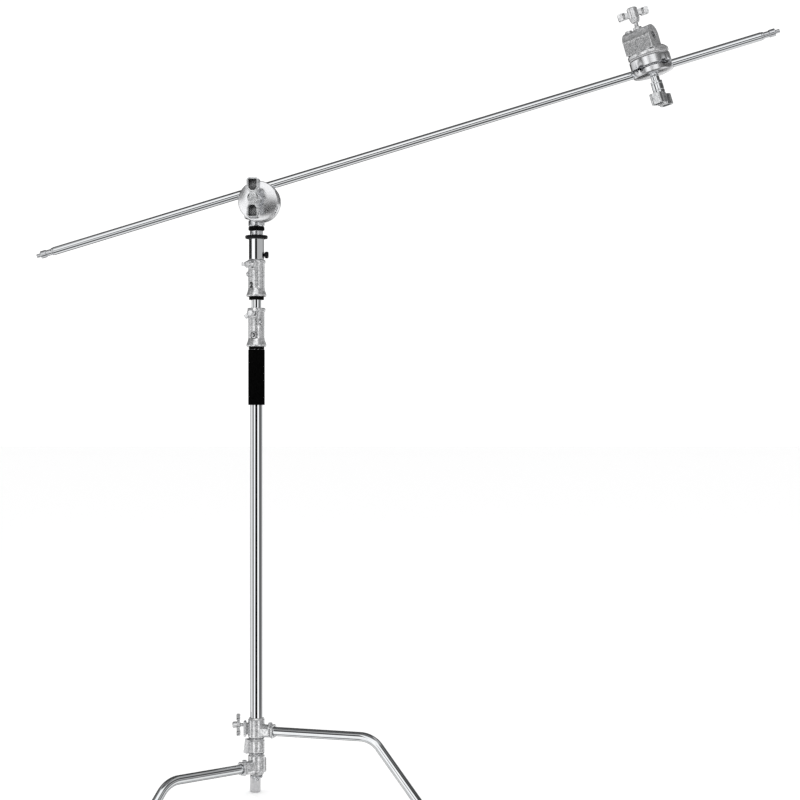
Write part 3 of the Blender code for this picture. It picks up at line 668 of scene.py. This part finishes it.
# ---- Column ----
def collar_look(node, bores, shoulder, knob_axis, boss_axis, slots):
    """A cast collar: flared foot, beaded top, knob pad, boss and long grooves."""
    low, high = span(node)
    body = turned([(0.004, low), (COLLAR_RIM_R, low), (COLLAR_RIM_R, low + 0.0035),
                   (COLLAR_R + 0.0010, low + 0.0110), (COLLAR_R, low + 0.0160), (COLLAR_R, high - 0.0080),
                   (COLLAR_BEAD_R, high - 0.0065), (COLLAR_BEAD_R, high - 0.0015),
                   (COLLAR_BEAD_R - 0.0015, high), (0.004, high)], 0.0010)
    knob_z = high - KNOB_DROP
    boss_z = high - RIVET_DROP
    pad = block((0.0120, 0.0160, 0.0180), (0.0140, 0, knob_z), 0.0025)
    boss = moved(rod(0.0055, 0.010, COLLAR_R + 0.0020, 0.0006), (0, 0, boss_z), facing((1, 0, 0)))
    knob_turn = Matrix.Rotation(math.atan2(knob_axis.y, knob_axis.x), 3, "Z")
    boss_turn = Matrix.Rotation(math.atan2(boss_axis.y, boss_axis.x), 3, "Z")
    shape = joined(body, moved(pad, turn=knob_turn), moved(boss, turn=boss_turn))
    knob_bore = moved(rod(0.0034, 0.004, 0.030), (0, 0, knob_z), facing(knob_axis))
    pin_bore = moved(rod(0.0028, COLLAR_R - 0.0030, 0.030), (0, 0, boss_z), facing(boss_axis))
    shape = cut(shape, rod(bores[0], low - 0.01, shoulder), rod(bores[1], shoulder - 0.01, high + 0.01),
                knob_bore, pin_bore)
    for degrees in slots:
        groove = block((0.0030, 0.0018, high - low - 0.030), (COLLAR_R + 0.0004, 0, (low + high) / 2 - 0.001))
        shape = cut(shape, moved(groove, turn=about_z(degrees)))
    return cast(shape, 0.00045)


def wrapped(mesh, radius, azimuth, height):
    """A flat mesh in XY, bent round a column of that radius, with its face outwards."""
    for vertex in mesh.vertices:
        x, y, z = vertex.co
        a = math.radians(azimuth) + x / radius
        r = radius + z
        vertex.co = (r * math.cos(a), r * math.sin(a), height + y)
    mesh.update()
    return mesh


def numeral_mesh(text, size, circled):
    """A raised figure, in a ring where circled."""
    curve = bpy.data.curves.new("figure", "FONT")
    curve.body = text
    curve.size = size
    curve.extrude = 0.0006
    curve.offset = size * (0.030 if circled else 0.045)
    curve.align_x = "CENTER"
    curve.align_y = "CENTER"
    curve.resolution_u = 6
    host = bpy.data.objects.new("figure", curve)
    bpy.context.scene.collection.objects.link(host)
    graph = bpy.context.evaluated_depsgraph_get()
    mesh = bpy.data.meshes.new_from_object(host.evaluated_get(graph))
    bpy.data.objects.remove(host)
    if circled:
        mesh = joined(mesh, ring(0.0065, 0.0074, -0.0006, 0.0006, 0.0002))
    return evaluated(mesh, ("REMESH", {"mode": "VOXEL", "voxel_size": 0.0002}), ("DECIMATE", {"ratio": 0.4}))


def rivet_look(height, axis):
    """A domed rivet head on its shank."""
    rivet = turned([(0, COLLAR_R - 0.0027), (0.0025, COLLAR_R - 0.0027), (0.0025, COLLAR_R + 0.0023),
                    (0.0040, COLLAR_R + 0.0023), (0.0034, COLLAR_R + 0.0040), (0, COLLAR_R + 0.0044)],
                   0.0005, 32)
    return moved(rivet, (0, 0, height), facing(axis))


def collar_piece(number, bores, shoulder, figure_at, slots, knob_start, reach, roll):
    """One collar with its figure, rivet and T-knob. figure_at is (text, size, circled, azimuth)."""
    node = "collar_" + str(number)
    low, high = span(node)
    knob_axis = joint_axis(node + "_knob_turn")
    boss_axis = centre(node + "_rivet") - COLUMN.translation
    boss_axis.z = 0
    boss_axis.normalize()
    shape = collar_look(node, bores, shoulder, knob_axis, boss_axis, slots)
    text, size, circled, azimuth = figure_at
    figure = wrapped(numeral_mesh(text, size, circled), COLLAR_R + 0.0002, azimuth, low + 0.0220)
    piece = stand_in(node, shape, "cast", COLUMN)
    badge = bpy.data.objects.new(node + "_figure", figure)
    bpy.context.scene.collection.objects.link(badge)
    # painted shade: the raised figure is coloured near black, standing in for the shade round its strokes
    badge.data.materials.append(MATERIALS["shade_figure"])
    badge.data.shade_smooth()
    badge.parent = piece
    stand_in(node + "_rivet", rivet_look(high - RIVET_DROP, boss_axis), "steel", COLUMN)
    knob = t_knob_look(stem_r=0.0030, start=knob_start, hub_r=0.0070, hub=(0.0225, 0.0390), reach=reach,
                       wings=(0.0265, 0.0370), thick=0.0075, recess=0.0016)
    stand_in(node + "_knob", knob, "cast", knob_frame(node + "_knob_turn", math.radians(roll)))


def build_column():
    low, high = span("column_tube")
    stand_in("column_tube", ring(COLUMN_INNER_R, COLUMN_R, low, high), "chrome", COLUMN)
    stand_in("foam_sleeve", ring(COLUMN_BORE, 0.0165, *span("foam_sleeve"), 0.0018), "foam", COLUMN)
    stand_in("band_lower", ring(COLUMN_BORE, 0.0155, *span("band_lower"), 0.0010), "rubber", COLUMN)
    collar_piece(1, bores=(COLUMN_BORE, RISER_1_BORE), shoulder=high + GAP,
                 figure_at=("3", 0.0108, True, -105.0), slots=(-58.0, -30.0),
                 knob_start=0.0102, reach=0.0150, roll=20)

    low, high = span("riser_1_tube")
    stand_in("riser_1_tube", ring(RISER_1_INNER_R, RISER_1_R, low, high), "chrome", COLUMN)
    stand_in("riser_1_bush", ring(RISER_2_BORE, 0.0100, *span("riser_1_bush"), 0.0003), "plastic", COLUMN)
    stand_in("band_upper", ring(RISER_1_BORE, 0.0150, *span("band_upper"), 0.0010), "rubber", COLUMN)
    collar_piece(2, bores=(RISER_1_BORE, RISER_2_BORE), shoulder=high + GAP,
                 figure_at=("2", 0.0150, False, -124.0), slots=(-78.0, -35.0),
                 knob_start=0.0078, reach=0.0140, roll=-30)

    stand_in("riser_2_tube", ring(RISER_2_INNER_R, RISER_2_R, *span("riser_2_tube")), "chrome", COLUMN)
    build_top()


def build_top():
    """The chrome sleeve, its lock knob, and the stack under the upper head."""
    low, high = span("top_sleeve")
    deep = span("riser_2_tube")[1] + GAP
    sleeve = turned([(RISER_2_BORE, low), (SLEEVE_R, low), (SLEEVE_R, high), (RISER_2_INNER_R, high),
                     (RISER_2_INNER_R, deep), (RISER_2_BORE, deep)])
    lock_at = joint_place("lock_knob_turn")
    screw_bore = moved(rod(0.0028, 0.004, 0.020), (0, 0, lock_at.z), facing((1, 0, 0)))
    stand_in("top_sleeve", cut(sleeve, screw_bore), "chrome", COLUMN)
    lock = turned([(0, 0.0077), (0.0025, 0.0077), (0.0025, 0.0156), (0.0044, 0.0156), (0.0068, 0.0185),
                   (0.0068, 0.0220), (0.0056, 0.0240), (0, 0.0240)], 0.0006, 48)
    grips = []
    for k in range(10):
        a = 2 * math.pi * k / 10
        grip = rod(0.0010, 0.0170, 0.0245, 0, 12)
        grips.append(moved(grip, (0.0073 * math.cos(a), 0.0073 * math.sin(a), 0)))
    stand_in("lock_knob", cut(lock, *grips), "plastic", knob_frame("lock_knob_turn", 0.0))
    for node, outer, soft, material in (("stud_flange", 0.0225, 0.0024, "plastic"),
                                        ("stud_spacer", 0.0130, 0.0008, "steel"),
                                        ("stud_ring", 0.0160, 0.0018, "rubber")):
        stand_in(node, ring(RECEIVER_R, outer, *span(node), soft), material, COLUMN)
    low, high = span("stud_seat")
    seat = turned([(RECEIVER_R, low), (0.0150, low), (0.0160, low + 0.002), (0.0160, high - 0.003),
                   (0.0140, high), (RECEIVER_R, high)], 0.0010)
    stand_in("stud_seat", seat, "steel", COLUMN)
    low, high = span("stud")
    flange = span("stud_flange")[0]
    stud = turned([(0, low), (0.0050, low), (0.0050, flange), (STUD_R, flange), (STUD_R, high - 0.028),
                   (0.0068, high - 0.026), (0.0068, high - 0.014), (STUD_R, high - 0.012), (STUD_R, high),
                   (0, high)], 0.0008)
    stand_in("stud", stud, "steel", COLUMN)


# ---- Grip heads ----
def disc_look(side):
    """A clamp disc with its grooves and a slightly crowned, lathe-turned back."""
    face = DISC_FACE
    back = DISC_BACK if side > 0 else OUTER_DISC_BACK
    crown = 0.0003 if side > 0 else 0.0036
    hub = 0.0130
    outline = [(BOLT_R + GAP, face), (DISC_R, face), (DISC_R, back - crown - 0.0020)]
    steps = 10
    for i in range(steps + 1):
        r = DISC_R - 0.0012 - (DISC_R - 0.0012 - hub) * i / steps
        outline.append((r, back - crown * ((r - hub) / (DISC_R - hub)) ** 2))
    outline.append((BOLT_R + GAP, back))
    disc = turned(outline, 0.0005, 96)
    tools = [rod(0.0098, -0.001, 0.011, 0, 48)]
    vee = math.sqrt(2) * (ARM_R + GAP)
    for y, depth in ((-ARM_OFFSET, vee), (ARM_OFFSET, vee * 0.55)):
        notch = extruded([(-depth, 0), (0, -depth), (depth, 0), (0, depth)], -0.05, 0.05)
        tools.append(moved(notch, (0, y, 0), facing((1, 0, 0))))
    for x in (-CROSS_OFFSET, CROSS_OFFSET):
        tools.append(moved(rod(0.0055, -0.05, 0.05), (x, 0, 0), facing((0, 1, 0))))
    disc = cut(disc, *tools)
    if side < 0:
        disc.transform(Matrix.Diagonal((1, 1, -1, 1)))
        disc.flip_normals()
    return evaluated(disc, ("BEVEL", {"width": 0.0004, "segments": 2, "limit_method": "ANGLE",
                                      "angle_limit": math.radians(40), "use_clamp_overlap": True}))


def body_look():
    """A head's body: round flange, D-shaped block round the stud's bore, and two bosses."""
    low, high = BODY_FLANGE
    flange = turned([(0, low), (DISC_R, low), (DISC_R, high - 0.0060), (DISC_R - 0.0060, high), (0, high)],
                    0.0010, 96)
    w = BODY_HALF_WIDTH
    steps = 24
    section = [(-w, high - 0.004), (w, high - 0.004)]
    section += [(w * math.cos(math.pi * i / steps), RECEIVER_T + w * math.sin(math.pi * i / steps))
                for i in range(steps + 1)]
    lay = Matrix(((0, 0, 1), (1, 0, 0), (0, 1, 0)))
    shell = moved(extruded(section, -BODY_LENGTH / 2, BODY_LENGTH / 2), (0, RECEIVER_Y, 0), lay)
    top = RECEIVER_T + w
    boss = moved(rod(0.0085, RECEIVER_T + 0.012, top + 0.004, 0.0006), (0, RECEIVER_Y, 0))
    lug = moved(rod(0.0070, RECEIVER_T + 0.012, top + 0.003, 0.0006), (LUG_X, RECEIVER_Y, 0))
    bore = moved(rod(RECEIVER_R, -0.1, 0.1, 0, 64), (0, RECEIVER_Y, RECEIVER_T), facing((1, 0, 0)))
    bolt_bore = rod(BOLT_R + GAP, 0, BOLT_SPAN[1] + 0.0040)
    set_bore = moved(rod(0.0043, RECEIVER_T, top + 0.02), (0, RECEIVER_Y, 0))
    return cast(cut(joined(flange, shell, boss, lug), bore, bolt_bore, set_bore), 0.0006)


def spring_look():
    """A round-wire spring, coiled about the bolt."""
    turns, per_turn, sides = 3, 32, 10
    bm = bmesh.new()
    rings = []
    count = turns * per_turn
    for i in range(count + 1):
        a = 2 * math.pi * i / per_turn
        height = -SPRING_HALF + 2 * SPRING_HALF * i / count
        middle = Vector((SPRING_R * math.cos(a), SPRING_R * math.sin(a), height))
        out = Vector((math.cos(a), math.sin(a), 0))
        spokes = [2 * math.pi * k / sides for k in range(sides)]
        rings.append([bm.verts.new(middle + SPRING_WIRE_R * (out * math.cos(s) + UP * math.sin(s)))
                      for s in spokes])
    for low, high in zip(rings, rings[1:]):
        for k in range(sides):
            n = (k + 1) % sides
            bm.faces.new((low[k], low[n], high[n], high[k]))
    bm.faces.new(rings[0])
    bm.faces.new(rings[-1])
    return mesh_from(bm)


def handle_look():
    """The clamp's T-handle: a hub and two wings, broadest at their square tips and hollowed in front."""
    low, high = HANDLE_SPAN
    hub = turned([(0, low), (0.0085, low), (0.0108, low + 0.0030), (0.0115, high - 0.0020), (0.0105, high),
                  (0, high)], 0.0010, 48)
    tip, waist = HANDLE_TIP / 2, HANDLE_WAIST / 2
    steps = 8
    quarter = [(HANDLE_REACH, 0)]
    for i in range(steps + 1):
        a = 0.5 * math.pi * i / steps
        quarter.append((HANDLE_REACH - HANDLE_CORNER + HANDLE_CORNER * math.cos(a),
                        tip - HANDLE_CORNER + HANDLE_CORNER * math.sin(a)))
    quarter += [(0.0200, tip * 0.94), (0.0120, waist * 1.15), (0.0080, waist)]
    half = quarter + [(-x, y) for x, y in reversed(quarter)]
    outline = half + [(-x, -y) for x, y in half[1:-1]]
    wings = extruded(outline, low + 0.0004, high - 0.0014)
    shape = joined(wings, hub)
    edge = [(0.0140, 0.0035), (0.0190, 0.0076), (0.0345, 0.0080), (0.0358, 0.0065)]
    for side in (-1, 1):
        pocket = [(side * x, -y) for x, y in edge] + [(side * x, y) for x, y in reversed(edge)]
        shape = cut(shape, extruded(pocket, low - 0.01, low + 0.0150))
    shape = cut(shape, rod(BOLT_R + GAP, BOLT_SPAN[0] - GAP, high + 0.01))
    return cast(shape, 0.0005)


def collet_look():
    """The pressure sleeve, with a waist and two turned lines."""
    low, high = COLLET_SPAN
    neck = high - COLLET_NECK
    outline = [(BOLT_R + GAP, low), (0.0112, low)]
    for z in (low + 0.0050, neck - 0.0060):
        outline += [(0.0112, z), (0.0107, z + 0.0004), (0.0107, z + 0.0010), (0.0112, z + 0.0014)]
    outline += [(0.0112, neck), (0.0082, neck), (0.0082, high), (BOLT_R + GAP, high)]
    return turned(outline, 0.0005)


def build_head(number):
    """One head, in the frames of its jaws and of its body."""
    tag = "head_" + str(number) + "_"
    along = joint_axis("arm_slide")
    if number == 1:
        z = -joint_axis("head_1_tilt")
        point = joint_place("head_1_tilt")
        jaw = axes(along, z, point)
        body = axes(UP, z, point)
        handle_x = UP
        set_x = z.cross(UP)
    else:
        z = joint_axis("head_2_turn")
        point = joint_place("head_2_turn")
        jaw = axes(-along, z, point)
        body = jaw @ Matrix.Rotation(HEAD_2_TURN, 4, "Z")
        handle_x = (jaw @ Matrix.Rotation(HEAD_2_HANDLE_TURN, 4, "Z")).col[0].to_3d()
        set_x = -along
    stand_in(tag + "body", body_look(), "cast", body)
    pad_span = (DISC_BACK + GAP, BODY_FLANGE[0] - GAP)
    stand_in(tag + "pad", ring(BOLT_R + GAP, DISC_R - 0.0016, *pad_span, 0.0003), "grey_rubber", body)
    stand_in(tag + "inner_disc", disc_look(1), "turned", jaw)
    stand_in(tag + "spring", spring_look(), "steel", jaw)
    stand_in(tag + "outer_disc", disc_look(-1), "turned", jaw)
    stand_in(tag + "collet", collet_look(), "chrome", jaw)
    handle = axes(handle_x, z, point)
    stand_in(tag + "handle", handle_look(), "forged", handle)
    stand_in(tag + "bolt", rod(BOLT_R, *BOLT_SPAN, 0.0008, 48), "steel", handle)
    set_place = axes(set_x, z, joint_place(tag + "set_turn"))
    knob = t_knob_look(stem_r=0.0040, start=SET_TIP, hub_r=0.0100, hub=SET_HUB, reach=SET_REACH,
                       wings=SET_WINGS, thick=0.0090, recess=0.0022)
    stand_in(tag + "set_knob", placed(knob, set_place), "cast")


# ---- Arm ----
def build_arm():
    along = joint_axis("arm_slide")
    middle = centre("arm_tube")
    sideways = along.cross(Vector((1, 0, 0))).normalized()
    across = sideways.cross(along)
    tube = ring(ARM_BORE, ARM_R, -ARM_LENGTH / 2, ARM_LENGTH / 2)
    stand_in("arm_tube", tube, "chrome", axes(across, along, middle))
    for name, way in (("arm_stud_left", -1), ("arm_stud_right", 1)):
        stud = turned([(0, -0.030), (ARM_BORE - GAP, -0.030), (ARM_BORE - GAP, GAP), (0.0074, GAP),
                       (0.0074, 0.004), (0.0060, 0.005), (0.0060, 0.015), (0.0074, 0.016), (0.0074, 0.027),
                       (0.0036, 0.028), (0.0036, ARM_STUD), (0, ARM_STUD)], 0.0006, 48)
        place = axes(across, along * way, middle + along * way * ARM_LENGTH / 2)
        stand_in(name, placed(stud, place), "steel")


# ---- Studio ----
WHITE = 1.12                       # what the camera and matt surfaces see
# The room's tones that reflections show, as (degrees, brightness). The first three run round the
# stand: 0 is towards -Y, and it rises anticlockwise. They are the tones level with the horizon, just
# above it, and well below it.
LEVEL_TONES = ((-180, 0.03), (-150, 0.03), (-137, 0.60), (-108, 0.75), (-84, 1.20), (-68, 0.09), (-53, 0.09),
               (-42, 1.20), (-24, 1.20), (-15, 0.002), (18, 0.002), (28, 1.3), (40, 1.5), (52, 0.24),
               (74, 0.15), (100, 0.15), (122, 0.50), (136, 1.0), (165, 1.0), (180, 0.03))
RAISED_TONES = ((-180, 0.01), (-76, 0.01), (-64, 1.25), (-24, 1.25), (-16, 0.01), (10, 0.01), (17, 0.50),
                (90, 0.50), (137, 0.35), (155, 0.12), (180, 0.01))
LOW_TONES = ((-180, 0.04), (-160, 0.04), (-150, 1.0), (-140, 1.0), (-130, 0.30), (-112, 0.45), (-104, 1.1),
             (-96, 1.1), (-86, 0.45), (-66, 0.50), (-56, 1.1), (20, 1.0), (30, 0.06), (48, 0.20), (60, 1.0),
             (100, 1.0), (110, 0.05), (126, 0.30), (134, 1.0), (148, 1.0), (158, 0.04), (180, 0.04))
# These run from straight down, -90, to straight up, on each side of the stand.
LEFT_TONES = ((-90, 0.90), (-24, 1.0), (-10, 0.60), (4, 0.25), (10, 0.04), (24, 0.06), (40, 0.18),
              (60, 0.35), (90, 0.42))
RIGHT_TONES = ((-90, 0.90), (-10, 0.90), (5, 0.80), (14, 0.35), (24, 0.07), (38, 0.06), (46, 0.42),
               (90, 0.50))
FRONT_TONES = ((-90, 0.95), (-78, 0.80), (-66, 0.08), (-42, 0.08), (-30, 0.90), (12, 1.1), (50, 1.1),
               (58, 0.08), (66, 0.12), (75, 0.22), (90, 0.22))
BACK_TONES = ((-90, 0.95), (0, 1.0), (4, 0.06), (90, 0.08))
# Where one set of tones gives way to the next, in degrees above the horizon.
RAISED_FROM = 3.5
SIDES_FROM = 8.0
LOW_FROM = -14.0
PILLARS_FROM = -60.0
# Middle and half width, along X, of the upper room's slice that the arm reflects.
SLICE_MIDDLE = -0.07
SLICE_HALF = 0.42


def plain_material(name, colour, roughness):
    material, nodes, links = new_material(name)
    shader = nodes["Principled BSDF"]
    shader.inputs["Base Color"].default_value = (*colour, 1)
    shader.inputs["Roughness"].default_value = roughness
    return material


def stage_floor(name, size, place, shade):
    """The floor. Reflections look past it, to the studio's own lower half."""
    bm = bmesh.new()
    bmesh.ops.create_grid(bm, x_segments=1, y_segments=1, size=size / 2)
    floor = bpy.data.objects.new(name, mesh_from(bm))
    floor.data.materials.append(plain_material(name, (shade, shade, shade), 0.9))
    bpy.context.scene.collection.objects.link(floor)
    floor.location = place
    floor.visible_glossy = False


def tone_ramp(nodes, links, value, stops, place):
    """Greys along a value. stops are (angle, brightness), and place turns an angle into 0 to 1."""
    node = nodes.new("ShaderNodeValToRGB")
    elements = node.color_ramp.elements
    elements.remove(elements[1])
    for i, (angle, tone) in enumerate(stops):
        element = elements[0] if i == 0 else elements.new(place(angle))
        element.position = place(angle)
        element.color = (tone, tone, tone, 1)
    links.new(value, node.inputs["Fac"])
    return node.outputs["Color"]


def math_node(nodes, links, operation, *values):
    node = nodes.new("ShaderNodeMath")
    node.operation = operation
    for socket, value in zip(node.inputs, values):
        if isinstance(value, (int, float)):
            socket.default_value = value
        else:
            links.new(value, socket)
    return node.outputs["Value"]


def height_of(angle):
    """How high a direction's tip is, on a sphere of radius 1."""
    return math.sin(math.radians(angle))


def step_up(nodes, links, value, at, softness):
    """0 below a value, 1 above it, with a soft step."""
    node = nodes.new("ShaderNodeMapRange")
    node.interpolation_type = "SMOOTHSTEP"
    node.inputs["From Min"].default_value = at - softness
    node.inputs["From Max"].default_value = at + softness
    links.new(value, node.inputs["Value"])
    return node.outputs["Result"]


def mixed(nodes, links, factor, first, second):
    node = nodes.new("ShaderNodeMix")
    node.data_type = "RGBA"
    links.new(factor, node.inputs["Factor"])
    links.new(first, node.inputs[6])
    links.new(second, node.inputs[7])
    return node.outputs[2]


def around(angle):
    """Where a compass angle falls on a ramp that runs once round the stand."""
    return angle / 360 + 0.5


def upward(angle):
    """Where an angle above level falls on a ramp that runs from straight down to straight up."""
    return (height_of(angle) + 1) / 2


def grey(nodes, tone):
    node = nodes.new("ShaderNodeRGB")
    node.outputs[0].default_value = (tone, tone, tone, 1)
    return node.outputs[0]


def reflected_room(nodes, links):
    """The tone of the room in each direction, as reflections show it."""
    place = nodes.new("ShaderNodeTexCoord")
    parts = nodes.new("ShaderNodeSeparateXYZ")
    links.new(place.outputs["Generated"], parts.inputs["Vector"])
    x, y, z = parts.outputs
    turn = math_node(nodes, links, "ARCTAN2", x, math_node(nodes, links, "MULTIPLY", y, -1.0))
    turn = math_node(nodes, links, "MULTIPLY_ADD", turn, 0.5 / math.pi, 0.5)
    lift = math_node(nodes, links, "MULTIPLY_ADD", z, 0.5, 0.5)
    level = tone_ramp(nodes, links, turn, LEVEL_TONES, around)
    raised = tone_ramp(nodes, links, turn, RAISED_TONES, around)
    front = tone_ramp(nodes, links, lift, FRONT_TONES, upward)
    back = tone_ramp(nodes, links, lift, BACK_TONES, upward)
    left = tone_ramp(nodes, links, lift, LEFT_TONES, upward)
    right = tone_ramp(nodes, links, lift, RIGHT_TONES, upward)
    sides = mixed(nodes, links, step_up(nodes, links, x, 0.0, 0.1), left, right)
    arm_slice = mixed(nodes, links, step_up(nodes, links, y, 0.0, 0.1), front, back)
    off_centre = math_node(nodes, links, "ABSOLUTE", math_node(nodes, links, "ADD", x, -SLICE_MIDDLE))
    tall = mixed(nodes, links, step_up(nodes, links, off_centre, SLICE_HALF, 0.05), arm_slice, sides)
    upper = step_up(nodes, links, z, height_of(RAISED_FROM), 0.015)
    room = mixed(nodes, links, upper, level, raised)
    above = step_up(nodes, links, z, height_of(SIDES_FROM), 0.02)
    room = mixed(nodes, links, above, room, tall)
    pillars = tone_ramp(nodes, links, turn, LOW_TONES, around)
    upright = step_up(nodes, links, z, height_of(PILLARS_FROM), 0.10)
    pillars = mixed(nodes, links, upright, grey(nodes, 1.0), pillars)
    low = nodes.new("ShaderNodeVectorMath")
    low.operation = "MULTIPLY"
    links.new(tall, low.inputs[0])
    links.new(pillars, low.inputs[1])
    below = step_up(nodes, links, z, height_of(LOW_FROM), 0.02)
    return mixed(nodes, links, below, low.outputs["Vector"], room)


def studio_world():
    """A white room, whose dark and bright panels only reflections show."""
    world = bpy.data.worlds.new("studio")
    bpy.context.scene.world = world
    world.use_nodes = True
    world.cycles.sampling_method = "NONE"
    nodes, links = world.node_tree.nodes, world.node_tree.links
    room = reflected_room(nodes, links)
    paths = nodes.new("ShaderNodeLightPath")
    seen = mixed(nodes, links, paths.outputs["Is Glossy Ray"], grey(nodes, WHITE), room)
    links.new(seen, nodes["Background"].inputs["Color"])


def soft_light(name, place, look_at, size, power):
    """A large lamp that reflections don't show."""
    light = bpy.data.lights.new(name, "AREA")
    light.shape = "RECTANGLE"
    light.size, light.size_y = size
    light.energy = power
    made = bpy.data.objects.new(name, light)
    bpy.context.scene.collection.objects.link(made)
    made.location = place
    made.rotation_euler = (Vector(look_at) - Vector(place)).to_track_quat("-Z", "Y").to_euler()
    made.visible_glossy = False


def build_studio():
    x, y, _ = COLUMN.translation
    studio_world()
    stage_floor("floor", 60, (x, y, -0.0005), 0.95)
    target = (x, y, 0.9)
    soft_light("key", (x - 2.2, y - 2.4, 2.8), target, (1.6, 1.6), 25)
    soft_light("fill", (x + 3.0, y - 2.0, 1.6), target, (1.2, 2.0), 8)
    bpy.context.scene.view_settings.view_transform = "Standard"


def build_camera():
    camera = bpy.data.cameras.new("camera")
    camera.sensor_width = 36.0
    camera.lens = CAMERA_LENS
    camera.clip_end = 200.0
    made = bpy.data.objects.new("camera", camera)
    bpy.context.scene.collection.objects.link(made)
    made.location = COLUMN.translation + CAMERA_FROM_COLUMN
    made.rotation_euler = (math.radians(90), 0, 0)
    bpy.context.scene.camera = made


build_camera()
build_base()
build_column()
for head in (1, 2):
    build_head(head)
build_arm()
build_studio()
